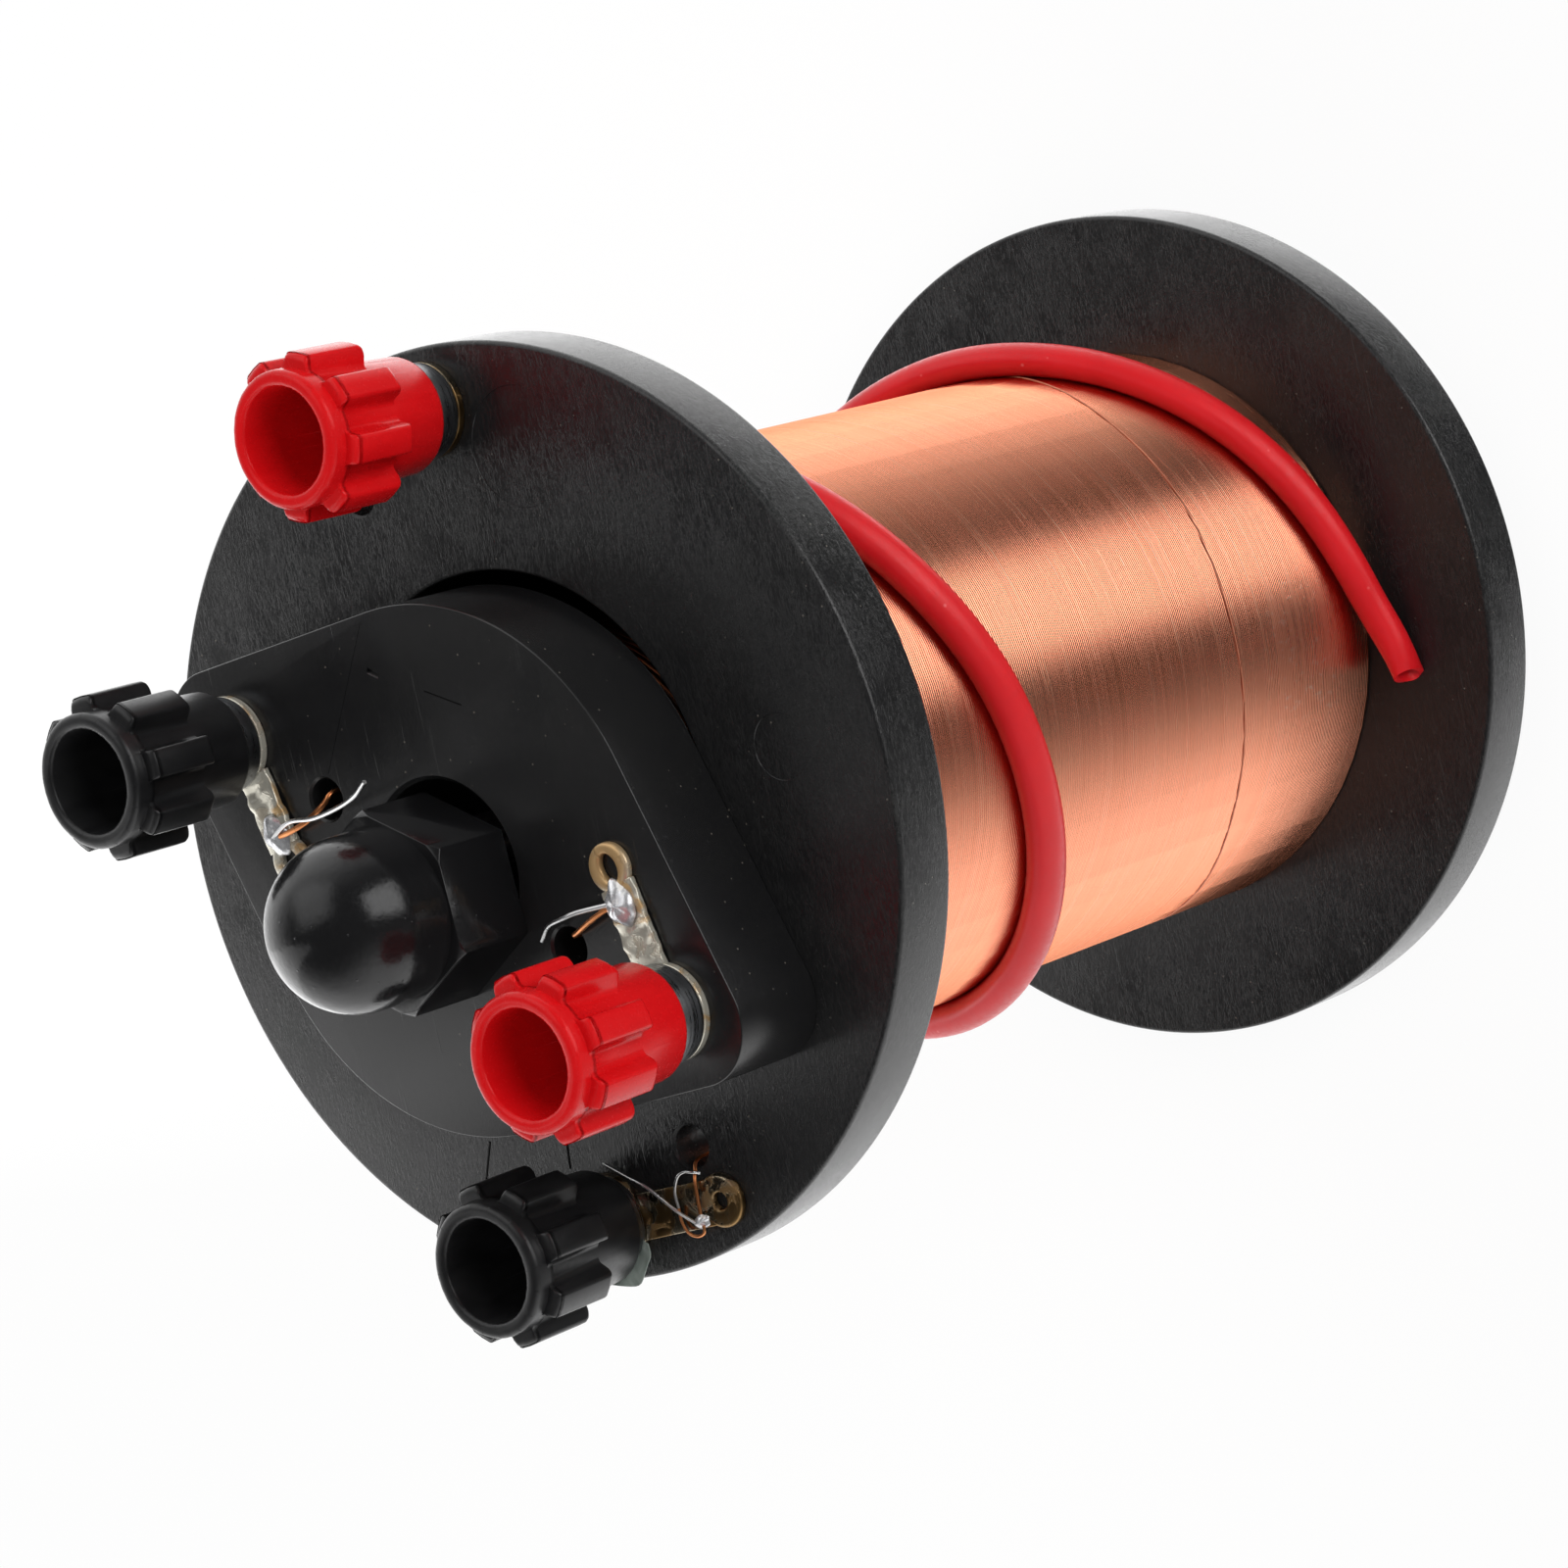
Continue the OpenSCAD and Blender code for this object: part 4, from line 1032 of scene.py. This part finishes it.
# Radii of a lead and of its cut end, by the body that carries the post, and of the loops' wire
LEAD_RADII = {"secondary": (0.15, 0.13), "primary_head": (0.24, 0.2)}
LOOP_R = 0.13
LEADS = {
    "secondary": ((10.3, 3.6, -0.5), (10.5, 2.7, 0.6), (10.5, 1.7, 1.0), (10.2, -0.6, 1.0)),
    "primary_black": ((7.8, 7.7, -0.6), (8.45, 6.9, 0.5), (8.95, 5.2, 1.05), (9.0, 3.4, 1.25),
                      (8.8, 1.4, 1.1)),
    "primary_red": ((8.8, 6.1, -0.6), (8.75, 4.9, 0.5), (8.9, 3.0, 1.05), (9.05, 1.2, 1.2), (9.1, -0.3, 1.1)),
}
TAILS = {
    "secondary": ((9.6, -1.2, 1.15), (8.05, 0.08, 1.35), (6.5, 2.38, 2.2), (4.97, 3.66, 2.6),
                  (3.34, 5.02, 3.0)),
    "primary_black": ((8.6, 0.9, 1.35), (8.35, 3.67, 1.5), (9.21, 6.65, 1.8), (9.64, 10.07, 2.2),
                      (9.66, 12.7, 2.6), (9.25, 14.72, 3.0)),
    "primary_red": ((9.3, 0.2, 1.3), (9.91, 2.97, 1.6), (10.07, 4.44, 1.8), (10.16, 6.38, 1.6),
                    (9.52, 8.08, 1.2)),
}
# Loop of wire round the strip of a secondary tag: a bare half and an enamelled half
BARE_LOOP = ((10.9, 2.55, 0.6), (10.6, 2.8, 1.1), (9.9, 2.95, 1.25), (9.1, 2.6, 1.3), (8.4, 1.5, 1.25),
             (8.2, 0.2, 1.1))
COPPER_LOOP = ((8.2, 0.2, 1.1), (8.05, -0.9, 1.0), (8.4, -1.9, 0.95), (9.2, -2.3, 0.9), (10.0, -2.1, 0.95),
               (10.2, -1.5, 1.0))


def wire_piece(name, post, route, wire_r, look, replaces=()):
    path = [on_post(post, *p) for p in spline(route, 12 * len(route))]
    dress(tube(name, path, wire_r, 10), look, post["body"], replaces)


for name, post in POSTS.items():
    secondary = post["body"] == "secondary"
    kind = "secondary" if secondary else name
    lead = LEADS[kind]
    deep = (lead[0][0], lead[0][1], -LEAD_DEPTH)
    lead_r, tail_r = LEAD_RADII[post["body"]]
    wire_piece(name + "_copper_lead", post, (deep,) + lead, lead_r, "lead", (name + "_lead",))
    wire_piece(name + "_lead_tail", post, TAILS[kind], tail_r, "tail")
    if secondary:
        wire_piece(name + "_bare_loop", post, BARE_LOOP, LOOP_R, "tail")
        wire_piece(name + "_copper_loop", post, COPPER_LOOP, LOOP_R, "lead")

# CAD nodes that stay in view: the look of each by the ending of its name
BARE = {"_stud": "zinc", "_bush": "brass", "_rod": "iron", "_former": "head", "_end_collar": "head"}
for node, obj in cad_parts.items():
    for ending, look in BARE.items():
        if node.endswith(ending):
            dress(obj, look)

# Floor, which looks white and keeps a soft shadow
FLOOR, FLOOR_DROP, FLOOR_GLOW = 6000.0, 0.2, 0.92
corners = [(-FLOOR, -FLOOR, 0), (FLOOR, -FLOOR, 0), (FLOOR, FLOOR, 0), (-FLOOR, FLOOR, 0)]
floor = make("floor", corners, [(0, 1, 2, 3)])
floor.location.z = -FLOOR_DROP * MM
floor_look = bpy.data.materials.new("white_floor")
floor_look.use_nodes = True
nodes = Nodes(floor_look.node_tree)
matt = nodes.add("BsdfDiffuse", Color=(0.86, 0.86, 0.86, 1))
glow = nodes.add("Emission", Color=(1, 1, 1, 1), Strength=1.0)
seen = nodes.times(nodes.add("LightPath").outputs["Is Camera Ray"], FLOOR_GLOW)
blend = nodes.add("MixShader", _0=seen, _1=matt.outputs[0], _2=glow.outputs[0])
nodes.add("OutputMaterial", Surface=blend.outputs[0])
floor.data.materials.append(floor_look)
floor.visible_glossy = False


# Light: two soft boxes and a pale side, seen in reflections where the studio's are, and a plain even level
def direction(azimuth, elevation):
    return at_angle(cos(radians(elevation)), azimuth, sin(radians(elevation)))


AMBIENT, EVEN_LEVEL = 0.06, 0.36
world = bpy.data.worlds.new("studio")
scene.world = world
world.use_nodes = True
nodes = Nodes(world.node_tree)
ray = nodes.add("TexCoord").outputs["Generated"]


def dot(axis, way=ray):
    """How far a way, at first the ray's, runs along an axis."""
    return nodes.vector("DOT_PRODUCT", way, axis, "Value")


def softbox(azimuth, elevation, half_width, half_height, strength, soft):
    towards = direction(azimuth, elevation)
    side = Vector((0, 0, 1)).cross(towards).normalized()
    up = towards.cross(side)
    front = nodes.most(dot(towards), 0.001)
    total = nodes.step(dot(towards), 0.0, 0.2, 0.0, strength)
    for axis, half in ((side, half_width), (up, half_height)):
        share = nodes.math("DIVIDE", nodes.math("ABSOLUTE", dot(axis)), front)
        edge = tan(radians(half))
        total = nodes.times(total, nodes.step(share, edge * (1 + soft), edge * (1 - soft)))
    return total


level = nodes.vector("NORMALIZE", nodes.vector("MULTIPLY", ray, (1, 1, 0)), (0, 0, 0))
away = dot(direction(112, 0), level)
glossy = nodes.times(nodes.step(away, -0.95, 0.0, 0.0, 1.42), nodes.step(dot((0, 0, 1)), 0.85, 0.05))
glossy = nodes.times(glossy, nodes.step(dot(direction(45, -49)), 0.8, 0.97, 1.0, 1.45))
for part in (AMBIENT, softbox(-67, -3, 17, 24, 2.9, 0.35), softbox(17, 51, 24, 22, 1.2, 0.5)):
    glossy = nodes.plus(glossy, part)
white, even, studio = (
    nodes.add("Background", Color=(1, 1, 1, 1), Strength=strength).outputs[0]
    for strength in (1.0, EVEN_LEVEL, glossy))
kinds = nodes.add("LightPath").outputs
mirrored = nodes.most(kinds["Is Glossy Ray"], kinds["Is Transmission Ray"])
lit = nodes.add("MixShader", _0=mirrored, _1=even, _2=studio).outputs[0]
shown = nodes.add("MixShader", _0=kinds["Is Camera Ray"], _1=lit, _2=white).outputs[0]
nodes.add("OutputWorld", Surface=shown)
world.cycles.sampling_method = "NONE"


def lamp(name, azimuth, elevation, distance, size, energy, target=(0, 0, 55), seen=False):
    data = bpy.data.lights.new(name, "AREA")
    data.shape = "RECTANGLE"
    data.size, data.size_y = size
    data.energy = energy
    obj = new_object(name, data)
    towards = direction(azimuth, elevation)
    obj.location = Vector(target) * MM + towards * distance
    obj.rotation_euler = (-towards).to_track_quat("-Z", "Y").to_euler()
    obj.visible_glossy = seen


lamp("softbox_left", 24, 45, 0.9, (0.6, 0.5), 2.5)
lamp("softbox_right", -69, 14, 0.9, (0.45, 0.45), 4.5)
lamp("pale_side", 150, 30, 0.9, (0.8, 0.6), 4.0)
lamp("front_fill", -84, 53, 1.2, (0.6, 0.6), 2.0)
# A pale card close beside the object, mirrored in the flanges' lower parts
lamp("pale_card", 180, 0, 0.006, (0.24, 0.32), 0.24, (-38, 182, 172), True)

scene.view_settings.view_transform = "Standard"
